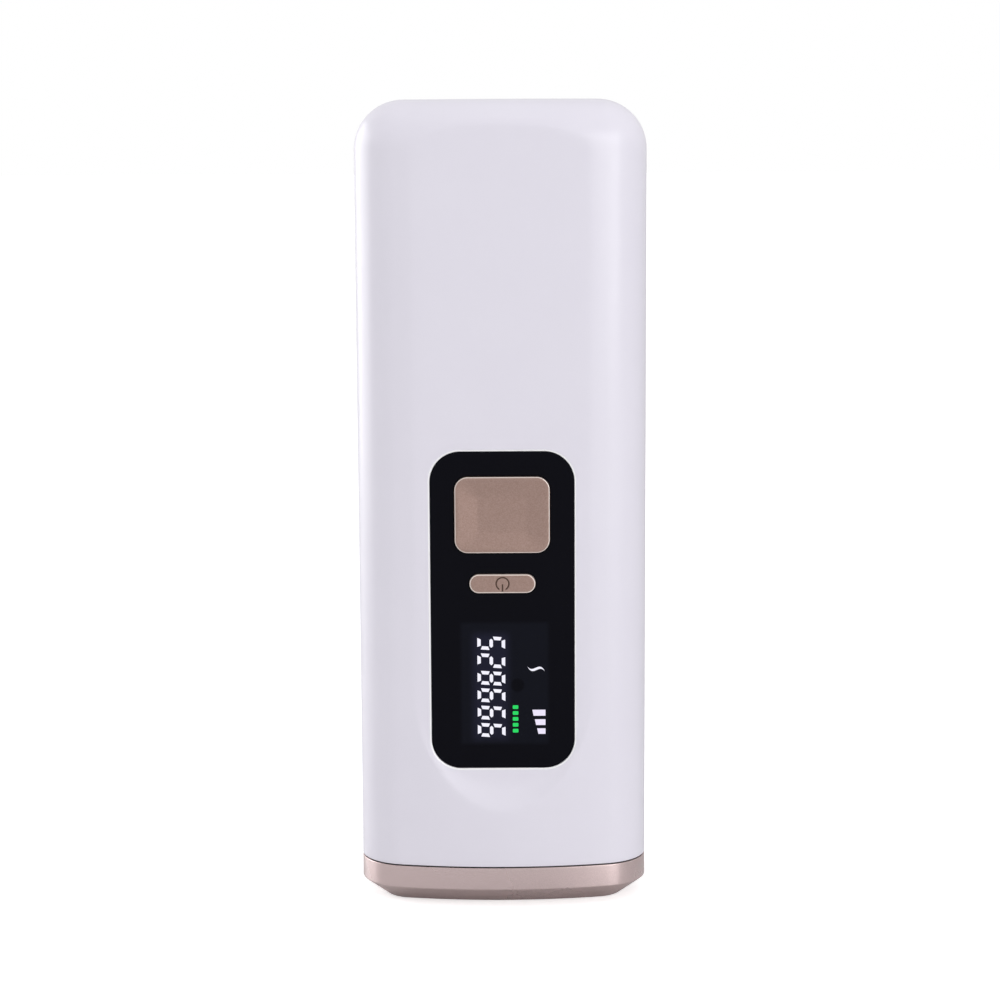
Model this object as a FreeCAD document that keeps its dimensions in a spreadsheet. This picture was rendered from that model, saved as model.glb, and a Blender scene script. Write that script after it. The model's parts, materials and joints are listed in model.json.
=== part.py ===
"""IPL hair remover: a straight handheld flash epilator, built as its separate pieces.

The appliance stands on its treatment face, which is the lower end. +Z runs up the handle to the power
inlet, the control panel faces -Y and the air grilles face +Y. All sizes are in millimetres.
"""

import FreeCAD
import Part
import math
import os
import re

import Sketcher
from FreeCAD import Placement, Rotation, Vector

# Driving dimensions. Each one becomes a cell of the sheet under its own alias.
SIZES = {
    # housing: a slab with crowned faces, round corners and a round tail end
    "body_width": 64.0, "body_depth": 42.0, "body_height": 178.0,
    "corner_radius": 11.5, "crown_radius": 110.0, "tail_radius": 10.8, "wall": 2.4,
    "face_cavity": 16.4, "parting_gap": 0.16, "lip_height": 1.5, "lip_inset": 1.25, "lip_play": 0.1,
    # flat field let into the crowned front, closed below by a sloping scoop
    "field_half": 19.3, "field_plane": 19.294, "field_foot": 27.6, "scoop_run": 5.6, "scoop_rise": 1.706,
    # head collar
    "collar_top": 9.0, "chamfer_rise": 4.1, "chamfer_inset": 5.5, "seam": 0.3, "seam_inset": 0.5,
    "skirt_top": 14.5, "skirt_play": 0.1, "skirt_wall": 1.6, "collar_floor": 2.4,
    "mouth_width": 46.0, "mouth_depth": 24.0, "mouth_radius": 5.0,
    "hood_width": 49.0, "hood_depth": 29.0, "hood_radius": 4.5,
    # window stack
    "bezel_base": 0.3, "bezel_play": 0.15, "flange_base": 2.45, "flange_top": 4.6,
    "glass_width": 36.0, "glass_depth": 14.0, "glass_radius": 1.4, "glass_base": 0.5, "glass_thick": 2.5,
    "seat_width": 40.0, "seat_depth": 18.0, "gasket_thick": 0.4, "filter_thick": 1.5, "fit_play": 0.1,
    "strip_length": 30.0, "strip_width": 1.6, "strip_thick": 0.8, "strip_offset": 9.6,
    # lamp unit
    "lamp_box_width": 48.0, "lamp_box_depth": 28.0, "lamp_box_radius": 4.0, "lamp_box_top": 22.0,
    "trough_length": 38.0, "trough_radius": 9.0, "trough_wall": 0.8, "trough_spring": 10.0,
    "lamp_height": 12.5, "tube_radius": 3.0, "tube_bore": 2.0, "tube_half": 21.8, "cap_radius": 3.5,
    "cap_start": 19.4, "cap_end": 23.6, "electrode_radius": 1.1, "electrode_start": 12.0,
    "electrode_end": 20.0, "pin_radius": 0.5, "pin_end": 25.4,
    # heat sink
    "sink_width": 48.0, "sink_depth": 26.0, "sink_base": 22.1, "sink_plate": 3.0, "fin_top": 38.0,
    "fin_thick": 1.2, "fin_pitch": 3.7, "fin_front": -6.0, "fin_back": 13.0,
    "head_screw_across": 21.9, "head_screw_along": 9.6, "head_screw_tip": 2.7, "cutout_width": 10.0,
    "cutout_front": 12.4, "cutout_back": 6.6, "cutout_height": 4.0,
    # duct and blower
    "duct_half": 19.5, "duct_front": -5.8, "duct_back": 15.6, "duct_base": 38.3, "duct_top": 45.8,
    "duct_wall": 1.2, "throat_left": -2.0, "throat_right": 15.0, "blower_size": 40.0, "blower_centre": 66.0,
    "blower_front": 6.2, "blower_open": 15.0,
    "blower_back": 16.2, "blower_floor": 1.2, "scroll_radius": 18.2, "inlet_radius": 13.0,
    "impeller_radius": 15.2, "impeller_inner": 10.6, "impeller_front": 8.0, "impeller_back": 14.4,
    "hub_radius": 8.2, "hub_wall": 0.9, "boss_turn": 2.2, "spindle_radius": 1.0, "spindle_play": 0.05,
    "stator_radius": 6.4, "stator_bore": 2.8, "stator_back": 12.4, "blade_thick": 0.6, "disc_thick": 0.8,
    "blower_screw": 17.6,
    # grilles in the rear shell
    "slot_height": 1.5, "intake_pitch": 2.7, "intake_radius": 14.6, "outlet_pitch": 2.9, "outlet_half": 15.0,
    "outlet_base": 25.2,
    # control panel
    "panel_width": 31.5, "panel_height": 70.5, "panel_radius": 6.6, "panel_base": 31.55, "panel_face": 19.35,
    "panel_thick": 1.5, "panel_play": 0.15, "tape_thick": 0.15, "bay_width": 25.6, "bay_height": 64.6,
    "bay_radius": 4.0,
    # buttons
    "flash_width": 20.8, "flash_height": 16.8, "flash_radius": 2.9, "flash_centre": 88.2,
    "power_width": 14.4, "power_height": 4.1, "power_radius": 2.0, "power_centre": 73.0, "button_face": 20.05,
    "button_play": 0.15, "button_bevel": 0.35, "flange_play": 0.1, "flange_extra": 1.3, "flange_thick": 0.8,
    "dish_depth": 0.55, "dish_rim": 0.8, "dish_flat_width": 11.0, "dish_flat_height": 7.2,
    "stem_radius": 1.6, "stem_end": 15.0, "plunger_radius": 1.5, "plunger_end": 13.9,
    "switch_size": 6.0, "switch_face": 14.4, "switch_bore": 1.2, "symbol_radius": 1.55,
    "symbol_line": 0.28, "symbol_depth": 0.15,
    # display and boards
    "display_width": 21.0, "display_height": 29.0, "display_base": 36.5, "display_face": 17.4,
    "front_board_width": 35.0, "front_board_height": 66.0, "front_board_base": 34.0, "front_board_face": 11.0,
    "front_board_thick": 1.4, "main_board_width": 38.0, "main_board_base": 46.0, "main_board_top": 170.0,
    "main_board_front": 6.0, "main_board_thick": 1.6, "header_width": 16.0, "header_height": 3.0,
    "header_base": 91.0,
    # fixings
    "boss_across": 23.5, "boss_low": 40.0, "boss_high": 150.0, "boss_radius": 3.8, "recess_radius": 2.7,
    "recess_floor": 7.5, "pilot_radius": 1.15, "pilot_depth": 11.0, "clear_radius": 1.35,
    "screw_head_radius": 2.4, "screw_head_height": 1.8, "screw_radius": 1.1, "screw_tip": 9.0,
    "post_across": 15.4, "post_radius": 2.0, "post_bore": 0.85, "board_screw_head": 1.8,
    "board_screw_height": 1.2, "board_screw_radius": 0.8, "board_screw_length": 4.5,
    "front_post_low": 36.5, "front_post_high": 97.5, "main_post_low": 114.0, "main_post_high": 160.0,
    # power parts
    "capacitor_radius": 10.0, "capacitor_length": 46.0, "capacitor_across": -8.5, "capacitor_depth": 6.2,
    "capacitor_base": 92.0, "core_width": 14.0, "core_depth": 13.0, "core_height": 16.0, "core_across": 11.8,
    "core_base": 94.0, "core_leg": 3.0, "coil_radius": 4.3, "coil_length": 13.0, "coil_across": 12.5,
    "coil_depth": 0.3, "coil_base": 51.0,
    "jack_depth": 6.2, "jack_width": 10.0, "jack_base": 164.6, "jack_top": 175.4, "jack_lip": 177.7,
    "jack_radius": 4.1, "jack_bore": 2.85, "jack_socket": 9.5, "jack_pin": 1.05, "jack_pin_length": 8.5,
    "jack_play": 0.2, "jack_foot": 170.0,
}

doc = FreeCAD.newDocument("ipl_hair_remover")
dims = doc.addObject("Spreadsheet::Sheet", "dims")
for row, (alias, value) in enumerate(SIZES.items(), 1):
    dims.set(f"A{row}", alias)
    dims.set(f"B{row}", str(value))
    dims.setAlias(f"B{row}", alias)
doc.recompute()

subparts = []


# ---- helpers: formulas, placing, primitives, booleans ----

def size(formula):
    """The number that a formula of sheet aliases gives now."""
    return float(dims.evalExpression(str(formula)))


def linked(formula):
    """The same formula with each alias pointing at the sheet, as other objects need it."""
    return re.sub(r"[a-z][a-z_]+", lambda m: f"dims.{m[0]}" if m[0] in SIZES else m[0], str(formula))


def bind(item, **formulas):
    for name, formula in formulas.items():
        item.setExpression(name, linked(formula))


def place(item, x=0, y=0, z=0, turn=None):
    """Puts an object at formulas for x, y and z, with a fixed turn."""
    item.Placement = Placement(Vector(size(x), size(y), size(z)), turn or Rotation())
    for axis, formula in zip("xyz", (x, y, z)):
        item.setExpression(f"Placement.Base.{axis}", linked(formula))
    return item


def keep(item, label):
    """Marks an object as a sub-part, whose label names its file."""
    item.Label = label
    subparts.append(item)
    return item


def box(name, x, y, z):
    """A block that spans the pairs of formulas x, y and z."""
    item = doc.addObject("Part::Box", name)
    spans = [f"({high}) - ({low})" for low, high in (x, y, z)]
    bind(item, Length=spans[0], Width=spans[1], Height=spans[2])
    return place(item, x[0], y[0], z[0])


TURNS = {"z": Rotation(), "x": Rotation(Vector(0, 1, 0), 90), "y": Rotation(Vector(1, 0, 0), -90)}


def rod(name, radius, length, x=0, y=0, z=0, axis="z"):
    """A cylinder that starts at x, y, z and runs its length along the positive axis."""
    item = doc.addObject("Part::Cylinder", name)
    bind(item, Radius=radius, Height=length)
    return place(item, x, y, z, TURNS[axis])


def fuse(name, *items):
    if len(items) == 1:
        return items[0]
    item = doc.addObject("Part::MultiFuse", name)
    item.Shapes = list(items)
    return item


def group(name, *items):
    """Separate solids kept together in one node."""
    item = doc.addObject("Part::Compound", name)
    item.Links = list(items)
    return item


def cut(name, base, *tools):
    item = doc.addObject("Part::Cut", name)
    item.Base = base
    item.Tool = fuse(name + "_tools", *tools)
    return item


def common(name, first, second):
    item = doc.addObject("Part::Common", name)
    item.Base = first
    item.Tool = second
    return item


# ---- helpers: sketches and bodies ----

def new_sketch(body, name, plane, offset=0):
    """A sketch on one of the body's own origin planes, raised by a formula."""
    sketch = body.newObject("Sketcher::SketchObject", name)
    base = next(f for f in body.Origin.OriginFeatures if f.Role == plane + "_Plane")
    sketch.AttachmentSupport = [(base, "")]
    sketch.MapMode = "FlatFace"
    sketch.AttachmentOffset = Placement(Vector(0, 0, size(offset)), Rotation())
    sketch.setExpression("AttachmentOffset.Base.z", linked(offset))
    return sketch


def dimension(sketch, kind, args, name, formula):
    """Adds a named driving dimension that follows a formula."""
    index = sketch.addConstraint(Sketcher.Constraint(kind, *args, size(formula)))
    sketch.renameConstraint(index, name)
    sketch.setExpression(f"Constraints.{name}", linked(formula))


def ring_of(sketch, edges):
    """Adds the edges and joins each to the next with a tangent, end to start."""
    first = sketch.GeometryCount
    for edge in edges:
        sketch.addGeometry(edge, False)
    last = len(edges) - 1
    for i in range(len(edges)):
        here, after = first + i, first + (0 if i == last else i + 1)
        sketch.addConstraint(Sketcher.Constraint("Tangent", here, 2, after, 1))
    return first


def arc(centre, radius, start, end):
    """An arc counter-clockwise from start to end, in degrees."""
    circle = Part.Circle(Vector(*centre, 0), Vector(0, 0, 1), radius)
    return Part.ArcOfCircle(circle, math.radians(start), math.radians(end))


def rounded_rectangle(sketch, width, height, radius):
    """A rectangle about the sketch's origin with four round corners, fully dimensioned."""
    a, b, r = size(width) / 2, size(height) / 2, size(radius)
    corners = [((a - r, -b + r), 270), ((a - r, b - r), 0), ((-a + r, b - r), 90), ((-a + r, -b + r), 180)]
    sides = [((-a + r, -b), (a - r, -b)), ((a, -b + r), (a, b - r)),
             ((a - r, b), (-a + r, b)), ((-a, b - r), (-a, -b + r))]
    edges = []
    for (start, end), (centre, angle) in zip(sides, corners):
        edges.append(Part.LineSegment(Vector(*start, 0), Vector(*end, 0)))
        edges.append(arc(centre, r, angle, angle + 90))
    n = ring_of(sketch, edges)
    for line, kind in zip((n, n + 2, n + 4, n + 6), ("Horizontal", "Vertical") * 2):
        sketch.addConstraint(Sketcher.Constraint(kind, line))
    for other in (n + 3, n + 5, n + 7):
        sketch.addConstraint(Sketcher.Constraint("Equal", n + 1, other))
    sketch.addConstraint(Sketcher.Constraint("Symmetric", n + 1, 3, n + 5, 3, -1, 1))
    dimension(sketch, "Radius", (n + 1,), "corner", radius)
    dimension(sketch, "DistanceX", (n + 6, 1, n + 2, 2), "width", width)
    dimension(sketch, "DistanceY", (n, 1, n + 4, 2), "height", height)


def crowned_section(sketch, inset):
    """The housing's cross-section, inset all round: crowned front and back, straight sides, round corners."""
    w, d = size(f"body_width / 2 - ({inset})"), size(f"body_depth / 2 - ({inset})")
    r, crown = size(f"corner_radius - ({inset})"), size(f"crown_radius - ({inset})")
    middle = crown - d
    x = w - r
    y = math.sqrt((crown - r) ** 2 - x ** 2) - middle
    lean = math.degrees(math.asin(x / (crown - r)))
    edges = [
        arc((0, middle), crown, 270 - lean, 270 + lean), arc((x, -y), r, 270 + lean, 360),
        Part.LineSegment(Vector(w, -y, 0), Vector(w, y, 0)), arc((x, y), r, 0, 90 - lean),
        arc((0, -middle), crown, 90 - lean, 90 + lean), arc((-x, y), r, 90 + lean, 180),
        Part.LineSegment(Vector(-w, y, 0), Vector(-w, -y, 0)), arc((-x, -y), r, 180, 270 - lean),
    ]
    n = ring_of(sketch, edges)
    for line in (n + 2, n + 6):
        sketch.addConstraint(Sketcher.Constraint("Vertical", line))
    for other in (n + 3, n + 5, n + 7):
        sketch.addConstraint(Sketcher.Constraint("Equal", n + 1, other))
    sketch.addConstraint(Sketcher.Constraint("Equal", n, n + 4))
    sketch.addConstraint(Sketcher.Constraint("PointOnObject", n, 3, -2))
    sketch.addConstraint(Sketcher.Constraint("Symmetric", n, 3, n + 4, 3, -1, 1))
    dimension(sketch, "Radius", (n + 1,), "corner", f"corner_radius - ({inset})")
    dimension(sketch, "Radius", (n,), "crown", f"crown_radius - ({inset})")
    dimension(sketch, "DistanceX", (n + 6, 1, n + 2, 2), "width", f"body_width - 2 * ({inset})")
    dimension(sketch, "DistanceY", (-1, 1, n, 3), "apex", "crown_radius - body_depth / 2")


def pad(body, sketch, length, reverse=False):
    feature = body.newObject("PartDesign::Pad", sketch.Name + "_pad")
    feature.Profile = sketch
    feature.Reversed = reverse
    feature.setExpression("Length", linked(length))
    return feature


def plate(name, width, height, radius, front, back, x=0, z=0, bevel=None):
    """A body: a rounded plate that faces -Y, from front to back, centred on x and z."""
    body = doc.addObject("PartDesign::Body", name)
    sketch = new_sketch(body, name + "_outline", "XZ")
    rounded_rectangle(sketch, width, height, radius)
    block = pad(body, sketch, f"({back}) - ({front})", reverse=True)
    if bevel:
        doc.recompute()
        edges = [f"Edge{i}" for i, e in enumerate(block.Shape.Edges, 1) if e.BoundBox.YMax < 0.01]
        chamfer = body.newObject("PartDesign::Chamfer", name + "_bevel")
        chamfer.Base = (block, edges)
        chamfer.setExpression("Size", linked(bevel))
    return place(body, x, front, z)


def slab(name, width, depth, radius, base, top):
    """A body: a rounded plate that lies flat, from base to top, centred on the axis."""
    body = doc.addObject("PartDesign::Body", name)
    sketch = new_sketch(body, name + "_outline", "XY")
    rounded_rectangle(sketch, width, depth, radius)
    pad(body, sketch, f"({top}) - ({base})")
    return place(body, 0, 0, base)


def crowned_bar(name, inset, base, top, rounding=None):
    """A body: a length of the housing's cross-section, with its upper rim rounded if a radius is given."""
    body = doc.addObject("PartDesign::Body", name)
    sketch = new_sketch(body, name + "_section", "XY")
    crowned_section(sketch, inset)
    bar = pad(body, sketch, f"({top}) - ({base})")
    if rounding:
        doc.recompute()
        rim = size(f"({top}) - ({base})")
        edges = [f"Edge{i}" for i, e in enumerate(bar.Shape.Edges, 1) if e.BoundBox.ZMin > rim - 0.01]
        fillet = body.newObject("PartDesign::Fillet", name + "_rim")
        fillet.Base = (bar, edges)
        fillet.setExpression("Radius", linked(rounding))
    return place(body, 0, 0, base)


def loft(body, lower, upper, feature="PartDesign::AdditiveLoft"):
    item = body.newObject(feature, lower.Name + "_loft")
    item.Profile = lower
    item.Sections = [(upper, [""])]
    item.Ruled = True
    return item


def four(name, make, across, *heights):
    """The same piece on both sides at each height, made by make(name, x, z)."""
    sides = (across, f"-({across})")
    return [make(f"{name}_{i}_{j}", x, z) for i, z in enumerate(heights) for j, x in enumerate(sides)]


# ---- casing ----

def casing_forms():
    """The solid forms that both shells are cut from."""
    base = "collar_top + seam"
    outer = crowned_bar("outer_form", "0", base, "body_height", "tail_radius")
    cavity = crowned_bar("cavity_form", "wall", base, "body_height - wall", "tail_radius - wall")
    open_front = box("cavity_front", ("-body_width", "body_width"), ("-face_cavity", "body_depth"),
                     ("0", "body_height"))
    cavity = common("cavity", cavity, open_front)
    lip = cut("lip_ring",
              crowned_bar("lip_form", "lip_inset + lip_play", base, "body_height - lip_inset - lip_play",
                          "tail_radius - lip_inset - lip_play"),
              crowned_bar("lip_core", "wall - lip_play", base, "body_height - wall + lip_play",
                          "tail_radius - wall + lip_play"))
    groove = crowned_bar("groove_form", "lip_inset", base, "body_height - lip_inset",
                         "tail_radius - lip_inset")
    return outer, cavity, lip, groove


def half_space(name, front, back):
    return box(name, ("-body_width", "body_width"), (front, back), ("0", "body_height + wall"))


def field_tool():
    """Cuts the flat field: its outline swept outwards and down, so the round foot becomes a sloping scoop."""
    outline = doc.addObject("Sketcher::SketchObject", "field_outline")
    rounded_rectangle(outline, "2 * field_half", "body_height + 2 * field_half", "field_half - 0.01")
    place(outline, 0, "-field_plane", "field_foot + body_height / 2 + field_half",
          Rotation(Vector(1, 0, 0), 90))
    tool = doc.addObject("Part::Extrusion", "field_tool")
    tool.Base = outline
    tool.DirMode = "Custom"
    tool.Dir = Vector(0, -size("scoop_rise"), -size("scoop_run"))
    tool.setExpression("Dir.y", linked("-scoop_rise"))
    tool.setExpression("Dir.z", linked("-scoop_run"))
    tool.setExpression("LengthFwd", linked("2 * sqrt(scoop_rise ^ 2 + scoop_run ^ 2)"))
    tool.Solid = True
    return tool


def front_shell(outer, cavity, lip):
    half = common("front_half", outer, half_space("front_space", "-body_depth", "-parting_gap / 2"))
    rim = common("front_lip", lip, half_space("lip_space", "-parting_gap", "lip_height"))
    bosses = four("case_boss", lambda n, x, z: rod(n, "boss_radius", "body_depth", x, "-body_depth", z, "y"),
                  "boss_across", "boss_low", "boss_high")
    front_posts = four("front_post", lambda n, x, z: rod(
        n, "post_radius", "body_depth / 2 - front_board_face", x, "-body_depth / 2", z, "y"),
        "post_across", "front_post_low", "front_post_high")
    main_posts = four("main_post", lambda n, x, z: rod(
        n, "post_radius", "body_depth / 2 - main_board_front", x, "-body_depth / 2", z, "y"),
        "post_across", "main_post_low", "main_post_high")
    hollow = cut("front_hollow", cavity, *bosses, *front_posts, *main_posts)
    pilots = four("pilot", lambda n, x, z: rod(n, "pilot_radius", "pilot_depth", x, "-pilot_depth", z, "y"),
                  "boss_across", "boss_low", "boss_high")
    bores = [*four("front_bore", lambda n, x, z: rod(
        n, "post_bore", "board_screw_length + 1", x, "-front_board_face - board_screw_length", z, "y"),
        "post_across", "front_post_low", "front_post_high"),
        *four("main_bore", lambda n, x, z: rod(
            n, "post_bore", "board_screw_length + 1", x, "-main_board_front - board_screw_length", z, "y"),
        "post_across", "main_post_low", "main_post_high")]
    middle = "panel_base + panel_height / 2"
    recess = plate("panel_recess", "panel_width + 2 * panel_play", "panel_height + 2 * panel_play",
                   "panel_radius + panel_play", "-body_depth", "-panel_face + panel_thick + tape_thick", 0,
                   middle)
    bay = plate("panel_bay", "bay_width", "bay_height", "bay_radius", "-body_depth", "-face_cavity + wall",
                0, middle)
    shell = cut("front_wall", half, hollow)
    whole = fuse("front_body", shell, rim)
    return keep(cut("front_shell_solid", whole, field_tool(), recess, bay, *pilots, *bores), "front_shell")


def slot(name, half, z):
    """A straight slot with round ends through the rear wall, as long as twice the half length."""
    depth = "body_depth / 2 - recess_floor"
    bar = box(name + "_bar", (f"-({half})", half), ("recess_floor", "body_depth / 2"),
              (f"({z}) - slot_height / 2", f"({z}) + slot_height / 2"))
    ends = [rod(f"{name}_end_{i}", "slot_height / 2", depth, x, "recess_floor", z, "y")
            for i, x in enumerate((half, f"-({half})"))]
    return [bar, *ends]


def rear_shell(outer, cavity, groove):
    half = common("rear_half", outer, half_space("rear_space", "parting_gap / 2", "body_depth"))
    posts = four("case_post", lambda n, x, z: rod(n, "boss_radius", "body_depth", x, 0, z, "y"),
                 "boss_across", "boss_low", "boss_high")
    hollow = cut("rear_hollow", cavity, *posts)
    rabbet = common("rabbet", cut("groove_ring", groove, cavity),
                    half_space("rabbet_space", "0", "lip_height + lip_play"))
    recesses = four("recess", lambda n, x, z: rod(n, "recess_radius", "body_depth", x, "recess_floor", z, "y"),
                    "boss_across", "boss_low", "boss_high")
    holes = four("screw_hole", lambda n, x, z: rod(n, "clear_radius", "body_depth", x, "-lip_height", z, "y"),
                 "boss_across", "boss_low", "boss_high")
    slots = []
    for step in range(-5, 6):
        reach = f"sqrt(intake_radius ^ 2 - ({step} * intake_pitch) ^ 2)"
        slots += slot(f"intake_{step + 5}", reach, f"blower_centre + {step} * intake_pitch")
    for step in range(5):
        slots += slot(f"outlet_{step}", "outlet_half", f"outlet_base + {step} * outlet_pitch")
    inlet = rod("jack_hole", "jack_radius + jack_play", "2 * wall", 0, "jack_depth",
                "body_height - 1.5 * wall")
    shell = cut("rear_wall", half, hollow)
    return keep(cut("rear_shell_solid", shell, rabbet, *recesses, *holes, *slots, inlet), "rear_shell")


def screw(name, x, across, seat, tip, kind, axis="y"):
    """A pan-head screw with a hexagon socket. Its head rests at seat, on the positive side of the axis."""
    head, height, shank = kind

    def at(depth):
        return (x, depth, across) if axis == "y" else (x, across, depth)

    body = fuse(name + "_body", rod(name + "_head", head, height, *at(seat), axis),
                rod(name + "_shank", shank, f"({seat}) - ({tip})", *at(tip), axis))
    socket = doc.addObject("Part::Prism", name + "_socket")
    bind(socket, Circumradius=f"({head}) / 2", Height=height)
    place(socket, *at(f"({seat}) + ({height}) / 2"), TURNS[axis])
    return cut(name, body, socket)


CASE_SCREW = ("screw_head_radius", "screw_head_height", "screw_radius")
BOARD_SCREW = ("board_screw_head", "board_screw_height", "board_screw_radius")


def housing_screws():
    screws = four("case_screw", lambda n, x, z: screw(n, x, z, "recess_floor", "-screw_tip", CASE_SCREW),
                  "boss_across", "boss_low", "boss_high")
    return keep(group("case_screws", *screws), "housing_screws")


# ---- treatment head ----

def section_ring(name, inset, base, top, front):
    """A crowned bar whose front is cut back to a flat, as the inside of the housing is."""
    bar = crowned_bar(name + "_bar", inset, base, top)
    room = box(name + "_room", ("-body_width", "body_width"), (front, "body_depth"), ("0", "body_height"))
    return common(name, bar, room)


def head_collar():
    body = doc.addObject("PartDesign::Body", "collar_form")
    foot = new_sketch(body, "collar_foot", "XY")
    crowned_section(foot, "chamfer_inset")
    ridge = new_sketch(body, "collar_ridge", "XY", "chamfer_rise")
    crowned_section(ridge, "0")
    loft(body, foot, ridge)
    upper = new_sketch(body, "collar_wall", "XY", "chamfer_rise")
    crowned_section(upper, "0")
    pad(body, upper, "collar_top - chamfer_rise")
    skirt = section_ring("skirt", "wall + skirt_play", "collar_top - 0.5", "skirt_top",
                         "-face_cavity + skirt_play")
    well = section_ring("collar_well", "wall + skirt_play + skirt_wall", "flange_top + 2", "skirt_top + 1",
                        "-face_cavity + skirt_play + skirt_wall")
    hood = slab("collar_hood", "hood_width", "hood_depth", "hood_radius", "collar_floor", "collar_top")
    mouth = slab("collar_mouth", "mouth_width", "mouth_depth", "mouth_radius", "-1", "collar_floor + 1")
    return keep(cut("collar", fuse("collar_body", body, skirt), well, hood, mouth), "head_collar")


def seam_gasket():
    outer = crowned_bar("gasket_outer", "seam_inset", "collar_top", "collar_top + seam")
    inner = crowned_bar("gasket_inner", "wall", "collar_top - 1", "collar_top + 1")
    return keep(cut("gasket_ring", outer, inner), "seam_gasket")


def corner_rods(name, radius, base, top, across, along):
    return [rod(f"{name}_{i}", radius, f"({top}) - ({base})", f"{sx}({across})", f"{sy}({along})", base)
            for i, (sx, sy) in enumerate((("", ""), ("", "-"), ("-", ""), ("-", "-")))]


def contact_bars(name, play, base, top):
    """Two bars beside the window, grown by a play all round."""
    reach = f"strip_length / 2 + ({play})"
    bars = []
    for i, side in enumerate(("-strip_offset", "strip_offset")):
        near, far = f"{side} - strip_width / 2 - ({play})", f"{side} + strip_width / 2 + ({play})"
        bars.append(box(f"{name}_{i}", (f"-({reach})", reach), (near, far), (base, top)))
    return bars


def window_parts():
    nose = slab("bezel_nose", "mouth_width - 2 * bezel_play", "mouth_depth - 2 * bezel_play",
                "mouth_radius - bezel_play", "bezel_base", "flange_base")
    flange = slab("bezel_flange", "hood_width - 2 * bezel_play", "hood_depth - 2 * bezel_play",
                  "hood_radius - bezel_play", "flange_base", "flange_top")
    opening = slab("bezel_opening", "glass_width + 2 * fit_play", "glass_depth + 2 * fit_play",
                   "glass_radius + fit_play", "-1", "flange_top + 1")
    seat = slab("bezel_seat", "seat_width", "seat_depth", "glass_radius", "glass_base + glass_thick",
                "flange_top + 1")
    grooves = contact_bars("strip_groove", "0.03", "-1", "bezel_base + strip_thick - 0.15")
    pilots = corner_rods("bezel_pilot", "pilot_radius", "head_screw_tip - 0.2", "flange_top + 1",
                         "head_screw_across", "head_screw_along")
    keep(cut("bezel", fuse("bezel_body", nose, flange), opening, seat, *grooves, *pilots), "window_bezel")
    keep(group("strips", *contact_bars("strip", "0", "bezel_base - 0.15", "bezel_base + strip_thick - 0.15")),
         "contact_strips")
    keep(slab("window_glass", "glass_width", "glass_depth", "glass_radius", "glass_base",
              "glass_base + glass_thick"), "treatment_window")
    base = "glass_base + glass_thick"
    ring = slab("window_ring", "seat_width - 2 * fit_play", "seat_depth - 2 * fit_play", "glass_radius",
                base, f"{base} + gasket_thick")
    hole = slab("window_ring_hole", "glass_width - 2", "glass_depth - 2", "glass_radius", "0", "flange_top")
    keep(cut("window_seal", ring, hole), "window_gasket")
    keep(slab("filter", "seat_width - 2 * fit_play", "seat_depth - 2 * fit_play", "glass_radius",
              f"{base} + gasket_thick", f"{base} + gasket_thick + filter_thick"), "filter_glass")


def arch(name, length, radius, base):
    """A trough turned upside down: straight sides from base up to the spring line, then a half round."""
    legs = box(name + "_legs", (f"-({length}) / 2", f"({length}) / 2"), (f"-({radius})", radius),
               (base, "trough_spring"))
    crown = rod(name + "_crown", radius, length, f"-({length}) / 2", 0, "trough_spring", "x")
    lid = box(name + "_lid", ("-body_width", "body_width"), ("-body_depth", "body_depth"),
              (base, "body_height"))
    return fuse(name, legs, common(name + "_vault", crown, lid))


def lamp_unit():
    base = "glass_base + glass_thick + gasket_thick + filter_thick"
    block = slab("lamp_block", "lamp_box_width", "lamp_box_depth", "lamp_box_radius", base, "lamp_box_top")
    room = arch("lamp_room", "trough_length + 0.4", "trough_radius + 0.15", f"{base} - 1")
    ends = rod("cap_bore", "cap_radius + fit_play", "body_width", "-body_width / 2", 0, "lamp_height", "x")
    holes = corner_rods("lamp_hole", "clear_radius", "0", "lamp_box_top + 1", "head_screw_across",
                        "head_screw_along")
    keep(cut("lamp_box", block, room, ends, *holes), "lamp_housing")
    outer = arch("trough_outer", "trough_length", "trough_radius", f"{base} + 0.1")
    inner = arch("trough_inner", "trough_length + 2", "trough_radius - trough_wall", base)
    keep(cut("trough", outer, inner), "reflector")
    tube = cut("tube", rod("tube_wall", "tube_radius", "2 * tube_half", "-tube_half", 0, "lamp_height", "x"),
               rod("tube_void", "tube_bore", "2 * tube_half + 2", "-tube_half - 1", 0, "lamp_height", "x"))
    keep(tube, "flash_tube")
    caps, electrodes = [], []
    for side, sign in (("left", "-"), ("right", "")):
        def start(near, far):
            return f"-{far}" if sign else near
        cap = rod(f"cap_{side}", "cap_radius", "cap_end - cap_start", start("cap_start", "cap_end"), 0,
                  "lamp_height", "x")
        cup = rod(f"cap_cup_{side}", "tube_radius + 0.05", "tube_half + 0.1 - cap_start + 1",
                  start("cap_start - 1", "(tube_half + 0.1)"), 0, "lamp_height", "x")
        bore = rod(f"cap_bore_{side}", "pin_radius + 0.05", "cap_end", start("0", "cap_end - 1"), 0,
                   "lamp_height", "x")
        far_bore = rod(f"cap_exit_{side}", "pin_radius + 0.05", "4", start("cap_end - 3", "cap_end - 1"), 0,
                       "lamp_height", "x")
        caps.append(cut(f"end_cap_{side}", cap, cup, bore, far_bore))
        body = rod(f"electrode_{side}", "electrode_radius", "electrode_end - electrode_start",
                   start("electrode_start", "electrode_end"), 0, "lamp_height", "x")
        pin = rod(f"electrode_pin_{side}", "pin_radius", "pin_end - electrode_start",
                  start("electrode_start", "pin_end"), 0, "lamp_height", "x")
        electrodes.append(fuse(f"electrode_rod_{side}", body, pin))
    keep(group("end_caps", *caps), "lamp_end_caps")
    keep(group("electrodes", *electrodes), "lamp_electrodes")


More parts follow.
